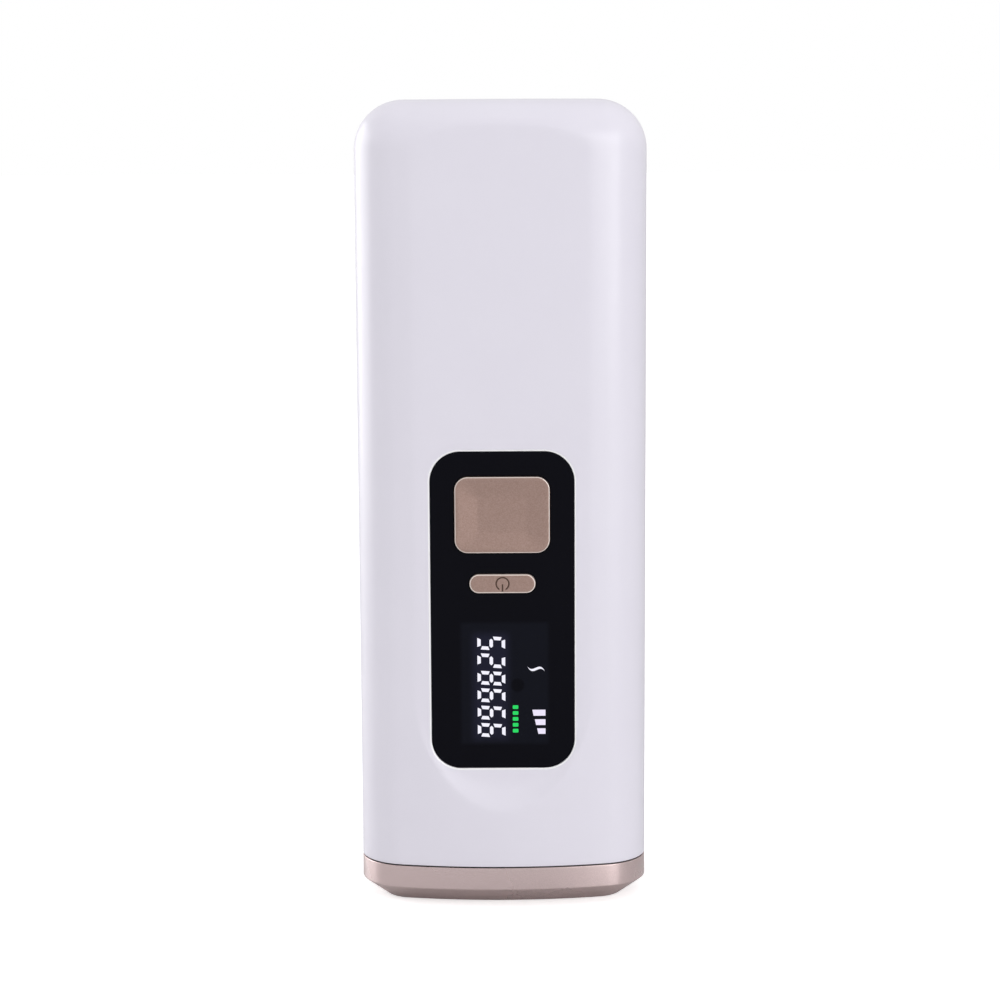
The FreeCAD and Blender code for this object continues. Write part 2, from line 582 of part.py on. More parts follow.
def heat_sink():
    top = "sink_base + sink_plate"
    base = slab("sink_plate", "sink_width", "sink_depth", "lamp_box_radius - 1", "sink_base", top)
    fins = [box(f"fin_{n + 5}", (f"{n} * fin_pitch - fin_thick / 2", f"{n} * fin_pitch + fin_thick / 2"),
                ("fin_front", "fin_back"), (f"{top} - 0.5", "fin_top")) for n in range(-5, 6)]
    holes = corner_rods("sink_hole", "clear_radius", "sink_base - 1", f"{top} + 1", "head_screw_across",
                        "head_screw_along")
    keep(cut("sink", fuse("sink_body", base, *fins), *holes), "heat_sink")
    spots = [("head_screw_across", "head_screw_along"), ("head_screw_across", "-head_screw_along"),
             ("-head_screw_across", "head_screw_along"), ("-head_screw_across", "-head_screw_along")]
    kind = ("board_screw_head", "screw_head_height", "screw_radius")
    keep(group("sink_screws", *[screw(f"sink_screw_{i}", x, y, top, "head_screw_tip", kind, "z")
                                for i, (x, y) in enumerate(spots)]), "head_screws")
    body = box("cutout_body", ("-cutout_width / 2", "cutout_width / 2"), ("-cutout_front", "-cutout_back"),
               (top, f"{top} + cutout_height"))
    legs = [rod(f"cutout_leg_{i}", "pin_radius", "cutout_height", x, "-(cutout_front + cutout_back) / 2",
                f"{top} + cutout_height - 0.5")
            for i, x in enumerate(("-cutout_width / 3", "cutout_width / 3"))]
    keep(fuse("cutout", body, *legs), "thermal_cutout")


# ---- cooling ----

def air_duct():
    outer = box("duct_outer", ("-duct_half", "duct_half"), ("duct_front", "duct_back"),
                ("duct_base", "duct_top"))
    inner = box("duct_inner", ("-duct_half + duct_wall", "duct_half - duct_wall"),
                ("duct_front + duct_wall", "duct_back - duct_wall"),
                ("duct_base - 1", "duct_top - duct_wall"))
    throat = box("duct_throat", ("throat_left", "throat_right"),
                 ("blower_front + blower_floor", "duct_back - duct_wall"), ("duct_base", "duct_top + 1"))
    keep(cut("duct", outer, inner, throat), "air_duct")


def impeller():
    """The turning piece, drawn with its axle along the body's own Z and then laid along Y."""
    body = doc.addObject("PartDesign::Body", "impeller_body")
    depth = "impeller_back - impeller_front"

    def ring(name, outer, inner, length, offset="0"):
        sketch = new_sketch(body, name, "XY", offset)
        for index, (side, radius) in enumerate((("outer", outer), ("inner", inner))):
            sketch.addGeometry(Part.Circle(Vector(), Vector(0, 0, 1), size(radius)), False)
            sketch.addConstraint(Sketcher.Constraint("Coincident", index, 3, -1, 1))
            dimension(sketch, "Radius", (index,), side, radius)
        return pad(body, sketch, length)

    ring("rotor_disc", "impeller_radius", "hub_radius - hub_wall", "disc_thick")
    ring("rotor_hub", "hub_radius", "hub_radius - hub_wall", depth)
    ring("rotor_cap", "hub_radius", "spindle_radius + spindle_play", "hub_wall", f"{depth} - hub_wall")
    ring("rotor_boss", "boss_turn", "spindle_radius + spindle_play", f"{depth} - 1", "1")
    blade = new_sketch(body, "rotor_blade", "XY")
    bar_outline(blade, "impeller_inner", "impeller_radius - 0.1", "blade_thick")
    fin = pad(body, blade, depth)
    pattern = body.newObject("PartDesign::PolarPattern", "rotor_blades")
    pattern.Originals = [fin]
    pattern.Axis = (next(f for f in body.Origin.OriginFeatures if f.Role == "Z_Axis"), [""])
    pattern.Angle = 360
    pattern.Occurrences = 24
    body.Tip = pattern
    return place(body, 0, "impeller_front", "blower_centre", TURNS["y"])


def bar_outline(sketch, near, far, thick):
    """A plain rectangle from near to far along the sketch's X, centred on the X axis."""
    a, b, t = size(near), size(far), size(thick) / 2
    points = [(a, -t), (b, -t), (b, t), (a, t)]
    for start, end in zip(points, points[1:] + points[:1]):
        sketch.addGeometry(Part.LineSegment(Vector(*start, 0), Vector(*end, 0)), False)
    for i in range(4):
        sketch.addConstraint(Sketcher.Constraint("Coincident", i, 2, (i + 1) % 4, 1))
    for line, kind in ((0, "Horizontal"), (2, "Horizontal"), (3, "Vertical")):
        sketch.addConstraint(Sketcher.Constraint(kind, line))
    sketch.addConstraint(Sketcher.Constraint("Symmetric", 1, 1, 1, 2, -1))
    dimension(sketch, "DistanceX", (-1, 1, 0, 1), "near", near)
    dimension(sketch, "DistanceX", (-1, 1, 0, 2), "far", far)
    dimension(sketch, "DistanceY", (1, 1, 1, 2), "thick", thick)


def blower():
    case = plate("blower_block", "blower_size", "blower_size", "3", "blower_front", "blower_open", 0,
                 "blower_centre")
    scroll = rod("scroll", "scroll_radius", "blower_size", 0, "blower_front + blower_floor",
                 "blower_centre", "y")
    throat = box("throat", ("throat_left", "throat_right"),
                 ("blower_front + blower_floor", "blower_open + 1"),
                 ("blower_centre - blower_size / 2 - 1", "blower_centre"))
    shaft_hole = rod("shaft_hole", "spindle_radius", "blower_size", 0, 0, "blower_centre", "y")
    low, high = "blower_centre - blower_screw", "blower_centre + blower_screw"
    holes = four("blower_bore", lambda n, x, z: rod(n, "board_screw_radius + 0.05", "blower_size", x,
                                                    "blower_open - board_screw_length - 0.5", z, "y"),
                 "blower_screw", low, high)
    keep(cut("blower_shell", case, scroll, throat, shaft_hole, *holes), "blower_case")
    lid = plate("blower_lid", "blower_size", "blower_size", "3", "blower_open", "blower_back", 0,
                "blower_centre")
    inlet = rod("blower_inlet", "inlet_radius", "blower_size", 0, 0, "blower_centre", "y")
    lid_holes = four("lid_hole",
                     lambda n, x, z: rod(n, "board_screw_radius + 0.2", "blower_size", x, 0, z, "y"),
                     "blower_screw", low, high)
    seats = four("lid_seat", lambda n, x, z: rod(n, "board_screw_head + 0.1", "blower_size", x,
                                                 "blower_back - 0.7", z, "y"), "blower_screw", low, high)
    keep(cut("blower_plate", lid, inlet, *lid_holes, *seats), "blower_cover")
    kind = ("board_screw_head", "0.65", "board_screw_radius")
    screws = four("lid_screw", lambda n, x, z: screw(n, x, z, "blower_back - 0.7",
                                                     "blower_open - board_screw_length + 0.5", kind),
                  "blower_screw", low, high)
    keep(group("lid_screws", *screws), "blower_screws")
    keep(impeller(), "blower_rotor")
    keep(rod("spindle", "spindle_radius", "impeller_back - blower_front - 0.2", 0, "blower_front",
             "blower_centre", "y"), "blower_spindle")
    keep(stator(), "blower_stator")


def stator():
    """A ring of six wound poles round the spindle boss, fixed to the blower's floor."""
    front = "blower_front + blower_floor"
    core = rod("stator_core", "stator_bore + 1", f"stator_back - ({front})", 0, front, "blower_centre", "y")
    poles = []
    for i in range(6):
        pole = doc.addObject("Part::Box", f"pole_{i}")
        bind(pole, Length="stator_radius - stator_bore", Width="2", Height="stator_back - impeller_front - 1")
        turn = Rotation(Vector(0, 1, 0), 60 * i) * Rotation(Vector(1, 0, 0), -90)
        shift = turn.multVec(Vector(size("stator_bore"), -1, 0))
        pole.Placement = Placement(Vector(), turn)
        reach = (f"({shift.x / size('stator_bore'):.6f}) * stator_bore", "impeller_front + 0.4",
                 f"blower_centre + ({shift.z:.6f})")
        poles.append(place(pole, *reach, turn))
    hole = rod("stator_hole", "stator_bore", "blower_size", 0, 0, "blower_centre", "y")
    return cut("stator", fuse("stator_body", core, *poles), hole)


# ---- control panel and buttons ----

PANEL_CENTRE = "panel_base + panel_height / 2"
PANEL_BACK = "-panel_face + panel_thick"


def button_hole(name, width, height, radius, centre):
    return plate(name, f"{width} + 2 * button_play", f"{height} + 2 * button_play", f"{radius} + button_play",
                 "-body_depth", "0", 0, centre)


def control_panel():
    blank = plate("panel_blank", "panel_width", "panel_height", "panel_radius", "-panel_face", PANEL_BACK,
                  0, PANEL_CENTRE, "0.25")
    holes = [button_hole("flash_hole", "flash_width", "flash_height", "flash_radius", "flash_centre"),
             button_hole("power_hole", "power_width", "power_height", "power_radius", "power_centre")]
    keep(cut("panel_plate", blank, *holes), "control_panel")
    band = plate("tape_band", "panel_width - 0.6", "panel_height - 0.6", "panel_radius - 0.3", PANEL_BACK,
                 f"{PANEL_BACK} + tape_thick", 0, PANEL_CENTRE)
    gap = plate("tape_gap", "bay_width + 0.6", "bay_height + 0.6", "bay_radius + 0.3", "-body_depth", "0", 0,
                PANEL_CENTRE)
    keep(cut("tape", band, gap), "panel_tape")


def button_body(name, width, height, radius, centre, *tools):
    """Cap, retaining flange and stem in one piece."""
    front, extra = f"{PANEL_BACK} + flange_play", "2 * flange_extra"
    cap = plate(name + "_cap", width, height, radius, "-button_face", f"{front} + 0.2", 0, centre,
                "button_bevel")
    flange = plate(name + "_flange", f"{width} + {extra}", f"{height} + {extra}", f"{radius} + flange_extra",
                   front, f"{front} + flange_thick", 0, centre)
    stem = rod(name + "_stem", "stem_radius", f"-stem_end - ({front})", 0, front, centre, "y")
    return cap, fuse(name + "_solid", cap, flange, stem)


def switch(name, centre):
    """A push switch on the front board, with a round well for its plunger."""
    half = "switch_size / 2"
    block = box(name + "_block", (f"-{half}", half), ("-switch_face", "-front_board_face"),
                (f"{centre} - {half}", f"{centre} + {half}"))
    well = rod(name + "_well", "plunger_radius + fit_play", "switch_bore", 0, "-switch_face", centre, "y")
    return cut(name + "_body", block, well)


def buttons():
    cap, flash = button_body("flash", "flash_width", "flash_height", "flash_radius", "flash_centre")
    rim = new_sketch(cap, "dish_rim_outline", "XZ")
    rounded_rectangle(rim, "flash_width - 2 * dish_rim", "flash_height - 2 * dish_rim",
                      "flash_radius - dish_rim")
    floor = new_sketch(cap, "dish_floor_outline", "XZ", "-dish_depth")
    rounded_rectangle(floor, "dish_flat_width", "dish_flat_height", "flash_radius - dish_rim")
    loft(cap, rim, floor, "PartDesign::SubtractiveLoft")
    keep(flash, "flash_button")
    keep(rod("flash_pin", "plunger_radius", "stem_end - plunger_end", 0, "-stem_end", "flash_centre", "y"),
         "flash_plunger")
    keep(switch("flash_contact", "flash_centre"), "flash_switch")
    cap, power = button_body("power", "power_width", "power_height", "power_radius", "power_centre")
    depth = ("-button_face - 1", "-button_face + symbol_depth")
    disc = rod("symbol_disc", "symbol_radius", "1 + symbol_depth", 0, depth[0], "power_centre", "y")
    core = rod("symbol_core", "symbol_radius - symbol_line", "3", 0, "-button_face - 1.5", "power_centre", "y")
    notch = box("symbol_notch", ("-symbol_radius / 3", "symbol_radius / 3"),
                ("-button_face - 2", "-button_face + 2"), ("power_centre - 3", "power_centre"))
    stroke = box("symbol_stroke", ("-symbol_line / 2", "symbol_line / 2"), depth,
                 ("power_centre - symbol_radius", "power_centre - symbol_line"))
    keep(cut("power_cut", power, cut("symbol_ring", disc, core, notch), stroke), "power_button")
    keep(rod("power_pin", "plunger_radius", "stem_end - plunger_end", 0, "-stem_end", "power_centre", "y"),
         "power_plunger")
    keep(switch("power_contact", "power_centre"), "power_switch")


def display():
    x = ("-display_width / 2", "display_width / 2")
    z = ("display_base", "display_base + display_height")
    middle = "-display_face + 1.8"
    keep(plate("display_glass", "display_width", "display_height", "0.8", "-display_face", middle, 0,
               "display_base + display_height / 2"), "display_cell")
    block = box("frame_block", x, (middle, "-front_board_face"), z)
    hollow = box("frame_hollow", ("-display_width / 2 + 1", "display_width / 2 - 1"),
                 (f"{middle} - 1", "-front_board_face + 1"),
                 ("display_base + 1", "display_base + display_height - 1"))
    keep(cut("frame_ring", block, hollow), "display_frame")


# ---- boards and power parts ----

def board(name, width, base, top, front, thick, across, heights):
    """A circuit board with a hole for each of its four screws."""
    sheet = plate(name + "_sheet", width, f"({top}) - ({base})", "1.5", f"-{front}", f"-{front} + {thick}", 0,
                  f"(({top}) + ({base})) / 2")
    holes = four(name + "_hole", lambda n, x, z: rod(n, "board_screw_radius + 0.15", "body_depth", x,
                                                     "-body_depth", z, "y"), across, *heights)
    return cut(name, sheet, *holes)


def boards():
    fronts = ("front_post_low", "front_post_high")
    keep(board("front_sheet", "front_board_width", "front_board_base", "front_board_base + front_board_height",
               "front_board_face", "front_board_thick", "post_across", fronts), "front_board")
    seat = "-front_board_face + front_board_thick"
    keep(group("front_screws", *four("front_screw", lambda n, x, z: screw(
        n, x, z, seat, f"{seat} - board_screw_length", BOARD_SCREW), "post_across", *fronts)),
        "front_board_screws")
    mains = ("main_post_low", "main_post_high")
    keep(board("main_sheet", "main_board_width", "main_board_base", "main_board_top", "main_board_front",
               "main_board_thick", "post_across", mains), "main_board")
    back = "-main_board_front + main_board_thick"
    keep(group("main_screws", *four("main_screw", lambda n, x, z: screw(
        n, x, z, back, f"{back} - board_screw_length", BOARD_SCREW), "post_across", *mains)),
        "main_board_screws")
    keep(box("header", ("-header_width / 2", "header_width / 2"), (seat, "-main_board_front"),
             ("header_base", "header_base + header_height")), "board_header")
    return back


# Small parts on the back of the main board: x, z, width, height and thickness of each block.
BLOCKS = [(-9, 56, 11, 11, 1.6), (6, 78, 8, 6, 1.4), (-11, 76, 6, 5, 1.8), (-10, 146, 9, 7, 2.2),
          (12, 147, 10, 15, 4.6), (-3, 51, 3, 1.6, 1), (-3, 56, 3, 1.6, 1), (-3, 61, 3, 1.6, 1),
          (-14, 84, 4, 2.5, 1.2), (-4, 84, 4, 2.5, 1.2), (-10, 158, 7, 4, 3)]
# Upright round parts on the same face: x, z, radius and length of each.
CANS = [(11.5, 120, 4.2, 13), (11.5, 131, 4.2, 13), (1.5, 154, 3, 8)]


def power_parts(back):
    can = rod("capacitor_can", "capacitor_radius", "capacitor_length", "capacitor_across", "capacitor_depth",
              "capacitor_base")
    groove = doc.addObject("Part::Torus", "capacitor_groove")
    bind(groove, Radius1="capacitor_radius + 0.3", Radius2="0.9")
    place(groove, "capacitor_across", "capacitor_depth", "capacitor_base + 4")
    tabs = [rod(f"capacitor_tab_{i}", "pin_radius + 0.3", "4", f"capacitor_across + {shift}", "capacitor_depth",
                "capacitor_base + capacitor_length - 1") for i, shift in enumerate(("-3.5", "3.5"))]
    keep(fuse("capacitor", cut("capacitor_body", can, groove), *tabs), "flash_capacitor")

    left, right = "core_across - core_width / 2", "core_across + core_width / 2"
    top, rear = "core_base + core_height", f"{back} + 0.1 + core_depth"
    block = box("core_block", (left, right), (f"{back} + 0.1", rear), ("core_base", top))
    windows = [box(f"core_window_{i}", x, ("-body_depth", "body_depth"),
                   ("core_base + core_leg", f"{top} - core_leg"))
               for i, x in enumerate(((f"{left} + core_leg / 2", "core_across - core_leg / 2"),
                                      ("core_across + core_leg / 2", f"{right} - core_leg / 2")))]
    keep(cut("core", block, *windows), "transformer_core")
    wire = box("wire_block", (f"{left} + core_leg / 2 + 0.2", f"{right} - core_leg / 2 - 0.2"),
               (f"{back} + 0.1", rear), ("core_base + core_leg + 0.2", f"{top} - core_leg - 0.2"))
    leg = box("wire_gap", ("core_across - core_leg / 2 - 0.1", "core_across + core_leg / 2 + 0.1"),
              ("-body_depth", "body_depth"), ("core_base", top))
    keep(cut("wire", wire, leg), "transformer_winding")

    coil = rod("coil_drum", "coil_radius", "coil_length", "coil_across", "coil_depth", "coil_base")
    neck = cut("coil_waist", rod("coil_waist_outer", "coil_radius + 1", "coil_length - 3", "coil_across",
                                 "coil_depth", "coil_base + 1.5"),
               rod("coil_waist_inner", "coil_radius - 0.8", "coil_length", "coil_across", "coil_depth",
                   "coil_base"))
    keep(cut("coil", coil, neck), "trigger_coil")

    small = [box(f"block_{i}", (f"{x - w / 2}", f"{x + w / 2}"), (back, f"{back} + {t}"),
                 (f"{z - h / 2}", f"{z + h / 2}")) for i, (x, z, w, h, t) in enumerate(BLOCKS)]
    cans = [rod(f"can_{i}", radius, length, x, back, z, "y") for i, (x, z, radius, length) in enumerate(CANS)]
    keep(group("components", *small, *cans), "board_components")


def power_inlet(back):
    half = "jack_width / 2"
    block = box("jack_block", (f"-{half}", half), (f"jack_depth - {half}", f"jack_depth + {half}"),
                ("jack_base", "jack_top"))
    foot = box("jack_foot_block", (f"-{half}", half), (back, "jack_depth"), ("jack_base", "jack_foot"))
    sleeve = rod("jack_sleeve", "jack_radius", "jack_lip - jack_base", 0, "jack_depth", "jack_base")
    bore = rod("jack_socket_bore", "jack_bore", "jack_socket + 1", 0, "jack_depth", "jack_lip - jack_socket")
    keep(cut("jack", fuse("jack_solid", block, foot, sleeve), bore), "dc_jack")
    keep(rod("jack_contact", "jack_pin", "jack_pin_length", 0, "jack_depth", "jack_lip - jack_socket"),
         "dc_jack_pin")
    legs = [box(f"jack_leg_{i}", (f"{x} - 0.4", f"{x} + 0.4"), ("jack_depth - 1.5", "jack_depth + 1.5"),
                ("jack_base - 3", "jack_base")) for i, x in enumerate(("-3", "0", "3"))]
    keep(group("jack_legs", *legs), "dc_jack_terminals")


# ---- build, check and export ----

outer, cavity, lip, groove = casing_forms()
front_shell(outer, cavity, lip)
rear_shell(outer, cavity, groove)
housing_screws()
head_collar()
seam_gasket()
window_parts()
lamp_unit()
heat_sink()
air_duct()
blower()
control_panel()
buttons()
display()
board_back = boards()
power_parts(board_back)
power_inlet(board_back)
doc.recompute()

faults = [f"{item.Label}: {item.State}" for item in doc.Objects if {"Invalid", "Error"} & set(item.State)]
for item in subparts:
    if item.Shape.isNull() or not item.Shape.isValid() or not item.Shape.Solids:
        faults.append(f"{item.Label}: no valid solid")
if faults:
    raise RuntimeError("; ".join(faults))

os.makedirs("parts", exist_ok=True)
for item in subparts:
    item.Shape.exportStep(f"parts/{item.Label}.step")
print(len(subparts), "sub-parts written")
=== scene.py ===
# %% [markdown]
# # A handheld light-pulse hair remover
#
# This notebook dresses a finished CAD model. The CAD file already fixes every size and every joint, so
# nothing here changes where a part is. What it adds is the look: smooth moulded shells, a satin white
# finish, a rose-gold metallic paint, a glossy black control panel and a lit display.
#
# The object, from bottom to top: a painted collar that holds the treatment window, a white grip made of a
# front and a rear shell, and a control panel let into the front. It stands on its treatment face.

# %% Load the CAD model as a fixed frame
import json
from math import cos, radians, sin

import bpy
import numpy as np
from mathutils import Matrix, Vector


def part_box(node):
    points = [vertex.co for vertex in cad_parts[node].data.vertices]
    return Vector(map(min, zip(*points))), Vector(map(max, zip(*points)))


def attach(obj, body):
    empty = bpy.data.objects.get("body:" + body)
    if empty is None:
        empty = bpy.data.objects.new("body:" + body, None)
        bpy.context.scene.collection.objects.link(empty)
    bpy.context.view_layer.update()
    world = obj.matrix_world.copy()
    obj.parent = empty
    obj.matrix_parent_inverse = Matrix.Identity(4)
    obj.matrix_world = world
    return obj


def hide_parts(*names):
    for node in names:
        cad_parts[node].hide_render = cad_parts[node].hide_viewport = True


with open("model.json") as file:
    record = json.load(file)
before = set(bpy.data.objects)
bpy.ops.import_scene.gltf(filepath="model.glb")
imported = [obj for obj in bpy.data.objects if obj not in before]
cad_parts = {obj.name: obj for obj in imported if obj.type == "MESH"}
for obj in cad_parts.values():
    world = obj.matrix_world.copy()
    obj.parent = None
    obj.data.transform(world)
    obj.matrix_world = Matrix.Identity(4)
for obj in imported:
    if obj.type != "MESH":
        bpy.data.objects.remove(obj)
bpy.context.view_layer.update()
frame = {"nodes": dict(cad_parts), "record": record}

# %% [markdown]
# ## Measuring the CAD model
#
# Blender works in metres, but a handheld object is easier to think about in millimetres, so every shape
# below is worked out in millimetres and scaled once, when its mesh is made. Places come from the boxes
# of the CAD nodes: if a node moves in the CAD file, the piece that dresses it moves too.

# %% Places and sizes, in millimetres
MM = 0.001


def node_box(name):
    """Lowest and highest corner of a CAD node, in millimetres."""
    low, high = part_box(name)
    return np.array(low) / MM, np.array(high) / MM


shell_low, shell_high = node_box("front_shell")
panel_low, panel_high = node_box("control_panel")
HALF_WIDTH = shell_high[0]
HALF_DEPTH = node_box("rear_shell")[1][1]
SHELL_BASE, TOP = shell_low[2], shell_high[2]
# Radii of the grip's corners, of its bulging front and back, and of the turn at its tail.
CORNER, CROWN, TAIL = 11.5, 110.0, 10.8
WALL = 2.4
print("grip", 2 * HALF_WIDTH, "x", 2 * HALF_DEPTH, "x", TOP, "mm")

# %% [markdown]
# ## One outline for everything
#
# The grip's cross-section is a rectangle whose front and back bulge a little and whose corners are round.
# One function draws that outline. It starts at the middle of the right side and runs round
# anticlockwise, always with the same number of points on each side, corner and face. Because every
# outline has the same points in the same order, any two of them can be joined into a smooth skin.


# %% The outline function
def ring(half_width, half_depth, corner, bulge=0.0, side=4, bend=26, face=46):
    """Closed outline. A quarter of it is a straight side, then a corner arc, then half of a wide arc.

    bulge is one over the wide arc's radius, and 0 makes that face straight. The other three quarters are
    mirror images of the first.
    """
    reach = half_width - corner
    if bulge > 1e-7:
        radius = 1 / bulge
        middle = radius - half_depth
        lean = np.arcsin(reach / (radius - corner))
        rise = (radius - corner) * np.cos(lean) - middle
        swing = np.linspace(lean, 0, face + 1)[1:]
        wide = np.c_[radius * np.sin(swing), radius * np.cos(swing) - middle]
    else:
        lean, rise = 0.0, half_depth - corner
        wide = np.c_[np.linspace(reach, 0, face + 1)[1:], np.full(face, half_depth)]
    straight = np.c_[np.full(side, half_width), np.linspace(0, rise, side, endpoint=False)]
    turn = np.linspace(0, np.pi / 2 - lean, bend + 1)
    arc = np.c_[reach + corner * np.cos(turn), rise + corner * np.sin(turn)]
    quarter = np.r_[straight, arc, wide]
    back = quarter[::-1]
    return np.r_[quarter, back[1:] * (-1, 1), quarter[1:] * (-1, -1), back[1:-1] * (1, -1)]


def housing_ring(inset, **counts):
    """The grip's outline, drawn in by inset all round: each radius gets shorter by the same amount."""
    corner = max(CORNER - inset, 0.01)
    return ring(HALF_WIDTH - inset, HALF_DEPTH - inset, corner, 1 / (CROWN - inset), **counts)


print("points in one outline:", len(housing_ring(0)))

# %% [markdown]
# ## From numbers to meshes
#
# A skin is a grid: rows of points, each joined to the next row by four-cornered faces. `grid_faces` makes
# those faces as one array, with no loop over points. `make_piece` hands the arrays to Blender, turns
# smooth shading on, and lets the piece ride on the CAD body that it belongs to.


# %% Grid faces and pieces
def grid_faces(rows, columns, wrap=False, loop=False):
    """Faces between row i and i + 1, column j and j + 1. wrap joins the last column to the first,
    and loop joins the last row to the first."""
    i = np.arange(rows if loop else rows - 1)[:, None]
    j = np.arange(columns if wrap else columns - 1)[None, :]
    down, right = (i + 1) % rows, (j + 1) % columns
    corners = (i * columns + j, i * columns + right, down * columns + right, down * columns + j)
    return np.stack(np.broadcast_arrays(*corners), -1).reshape(-1, 4)


def make_piece(name, points, faces, body, slot, replaces=(), smooth=True):
    """Makes the mesh from millimetre points and a list or array of faces."""
    mesh = bpy.data.meshes.new(name)
    faces = faces.tolist() if isinstance(faces, np.ndarray) else faces
    mesh.from_pydata((np.asarray(points).reshape(-1, 3) * MM).tolist(), [], faces)
    mesh.polygons.foreach_set("use_smooth", np.full(len(mesh.polygons), smooth))
    mesh.update()
    piece = bpy.data.objects.new(name, mesh)
    bpy.context.scene.collection.objects.link(piece)
    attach(piece, body)
    if replaces:
        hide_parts(*replaces)
    print(f"{name}: {len(mesh.polygons)} faces")
    return piece


print("faces between 3 rows of 4 points:", len(grid_faces(3, 4)))

# %% [markdown]
# ## Rounded corners in a profile
#
# Real mouldings have no knife edges: each edge has a small radius that catches the light. A profile here
# is a list of stations, and each station holds an outline's five numbers and its height. `softened` walks
# along that list and replaces each corner by a short curve, by blending the three stations round it.


# %% Softened profiles and lofts
def softened(stations, radius=0.25, steps=4):
    """Replaces each inner station by a quadratic curve between two points at most radius away from it.

    The curve is (1 - t)^2 times the start, plus 2 t (1 - t) times the corner, plus t^2 times the end.
    """
    stations = np.array(stations, float)
    before, corner, after = stations[:-2], stations[1:-1], stations[2:]
    radius = np.broadcast_to(radius, len(corner))[:, None]

    def toward(end):
        run = end - corner
        length = np.linalg.norm(run, axis=1, keepdims=True)
        return corner + run * np.minimum(radius / length, 0.45)

    t = np.linspace(0, 1, steps + 1)[None, :, None]
    start, end = toward(before)[:, None], toward(after)[:, None]
    curve = (1 - t) ** 2 * start + 2 * t * (1 - t) * corner[:, None] + t**2 * end
    return np.r_[stations[:1], curve.reshape(-1, stations.shape[1]), stations[-1:]]


def loft(stations, **counts):
    """Rows of outline points. Each station is half width, half depth, corner radius, bulge and height."""
    total = 4 * sum(counts.values())
    return np.array([np.c_[ring(*outline, **counts), np.full(total, height)] for *outline, height in stations])


def facing_front(points, x, z):
    """Turns a loft so that its height runs along +Y and its outline stands upright at x and z."""
    return points[..., [0, 2, 1]] + (x, 0, z)


def closed_faces(rows, columns, start=True, end=True):
    """Grid faces of a wrapped loft, with a flat face over its first and last outline."""
    faces = grid_faces(rows, columns, wrap=True).tolist()
    if start:
        faces.append(list(range(columns))[::-1])
    if end:
        faces.append(list(range((rows - 1) * columns, rows * columns)))
    return faces


print("stations once a corner is softened:", len(softened([(0, 0), (1, 0), (1, 1)])))

# %% [markdown]
# ## Holes and walls
#
# A moulded shell has windows in it: the panel's recess, the grilles, the screw wells. A boolean cut could
# make them, but it leaves long thin triangles that spoil a glossy surface. Here the skin is a fine grid.
# A distance formula says how far any point is from the nearest hole's edge. Faces inside a hole are
# dropped, and the points along its edge slide on to the exact outline.
#
# `walled` then gives the skin its thickness: a second skin inside it, and a strip round every edge whose
# first few faces turn through a small radius.


# %% Opening holes in a skin
def opened(points, faces, distance, lift):
    """Drops the faces whose middle has a distance below 0, then moves each edge point by minus its distance
    along the slope of the distance formula. lift puts moved points back on the surface."""
    points = points.copy()
    gone = distance(points[faces].mean(1)) < 0
    edge = np.intersect1d(faces[gone], faces[~gone])
    spot = points[edge]
    step = 0.01 * np.eye(3)
    for _ in range(4):
        slope = np.stack([(distance(spot + s) - distance(spot - s)) / 0.02 for s in step], 1)
        size = np.maximum((slope**2).sum(1), 0.2)
        spot = lift(spot - (distance(spot) / size)[:, None] * slope)
    points[edge] = spot
    return points, faces[~gone], edge


def stadium(p, x, z, half_length, radius):
    """Distance to a slot with round ends that lies along X, in the X and Z coordinates."""
    along = np.maximum(np.abs(p[:, 0] - x) - (half_length - radius), 0)
    return np.hypot(along, p[:, 2] - z) - radius


def rounded_box(p, x, z, half_width, half_height, radius):
    """Distance to a rectangle with round corners, in the X and Z coordinates."""
    dx = np.abs(p[:, 0] - x) - (half_width - radius)
    dz = np.abs(p[:, 2] - z) - (half_height - radius)
    return np.hypot(np.maximum(dx, 0), np.maximum(dz, 0)) + np.minimum(np.maximum(dx, dz), 0) - radius


print("from a slot's middle to its edge:", stadium(np.zeros((1, 3)), 0, 0, 5, 1)[0], "mm")

# %% Giving a skin its wall
def unit(v):
    return v / np.maximum(np.linalg.norm(v, axis=-1, keepdims=True), 1e-9)


def grid_normals(points):
    """Outward normals of a grid: the cross product of its slopes along columns and along rows."""
    return unit(np.cross(np.gradient(points, axis=1), np.gradient(points, axis=0)))


def walled(points, faces, normals, inward, radius):
    """Adds an inner skin at points + inward and a strip round each open edge.

    Along an edge, a point moves sideways by radius times sin(angle) and down by radius times
    (1 - cos(angle)), for three angles up to 90 degrees, and the last strip runs on to the inner skin.
    """
    count = len(points)
    a, b = faces.ravel(), np.roll(faces, -1, 1).ravel()
    open_edge = ~np.isin(a * count + b, b * count + a)
    a, b = a[open_edge], b[open_edge]
    side = unit(np.cross(points[b] - points[a], normals[a] + normals[b]))
    out = np.zeros_like(points)
    np.add.at(out, a, side)
    np.add.at(out, b, side)
    out = unit(out)
    rim = np.unique(np.r_[a, b])
    place = np.zeros(count, int)
    place[rim] = np.arange(len(rim))
    strips = [points[rim] + radius * (np.sin(f) * out[rim] - (1 - np.cos(f)) * normals[rim])
              for f in np.radians((30, 60, 90))]
    inner = points + inward
    inner[rim] += radius * out[rim]
    first = [a, *(2 * count + k * len(rim) + place[a] for k in range(3)), count + a]
    second = [b, *(2 * count + k * len(rim) + place[b] for k in range(3)), count + b]
    walls = [np.c_[second[k], first[k], first[k + 1], second[k + 1]] for k in range(4)]
    every = np.r_[points, inner, *strips]
    joined = np.r_[faces, faces[:, ::-1] + count, *walls]
    used = np.unique(joined)
    order = np.zeros(len(every), int)
    order[used] = np.arange(len(used))
    return every[used], order[joined]


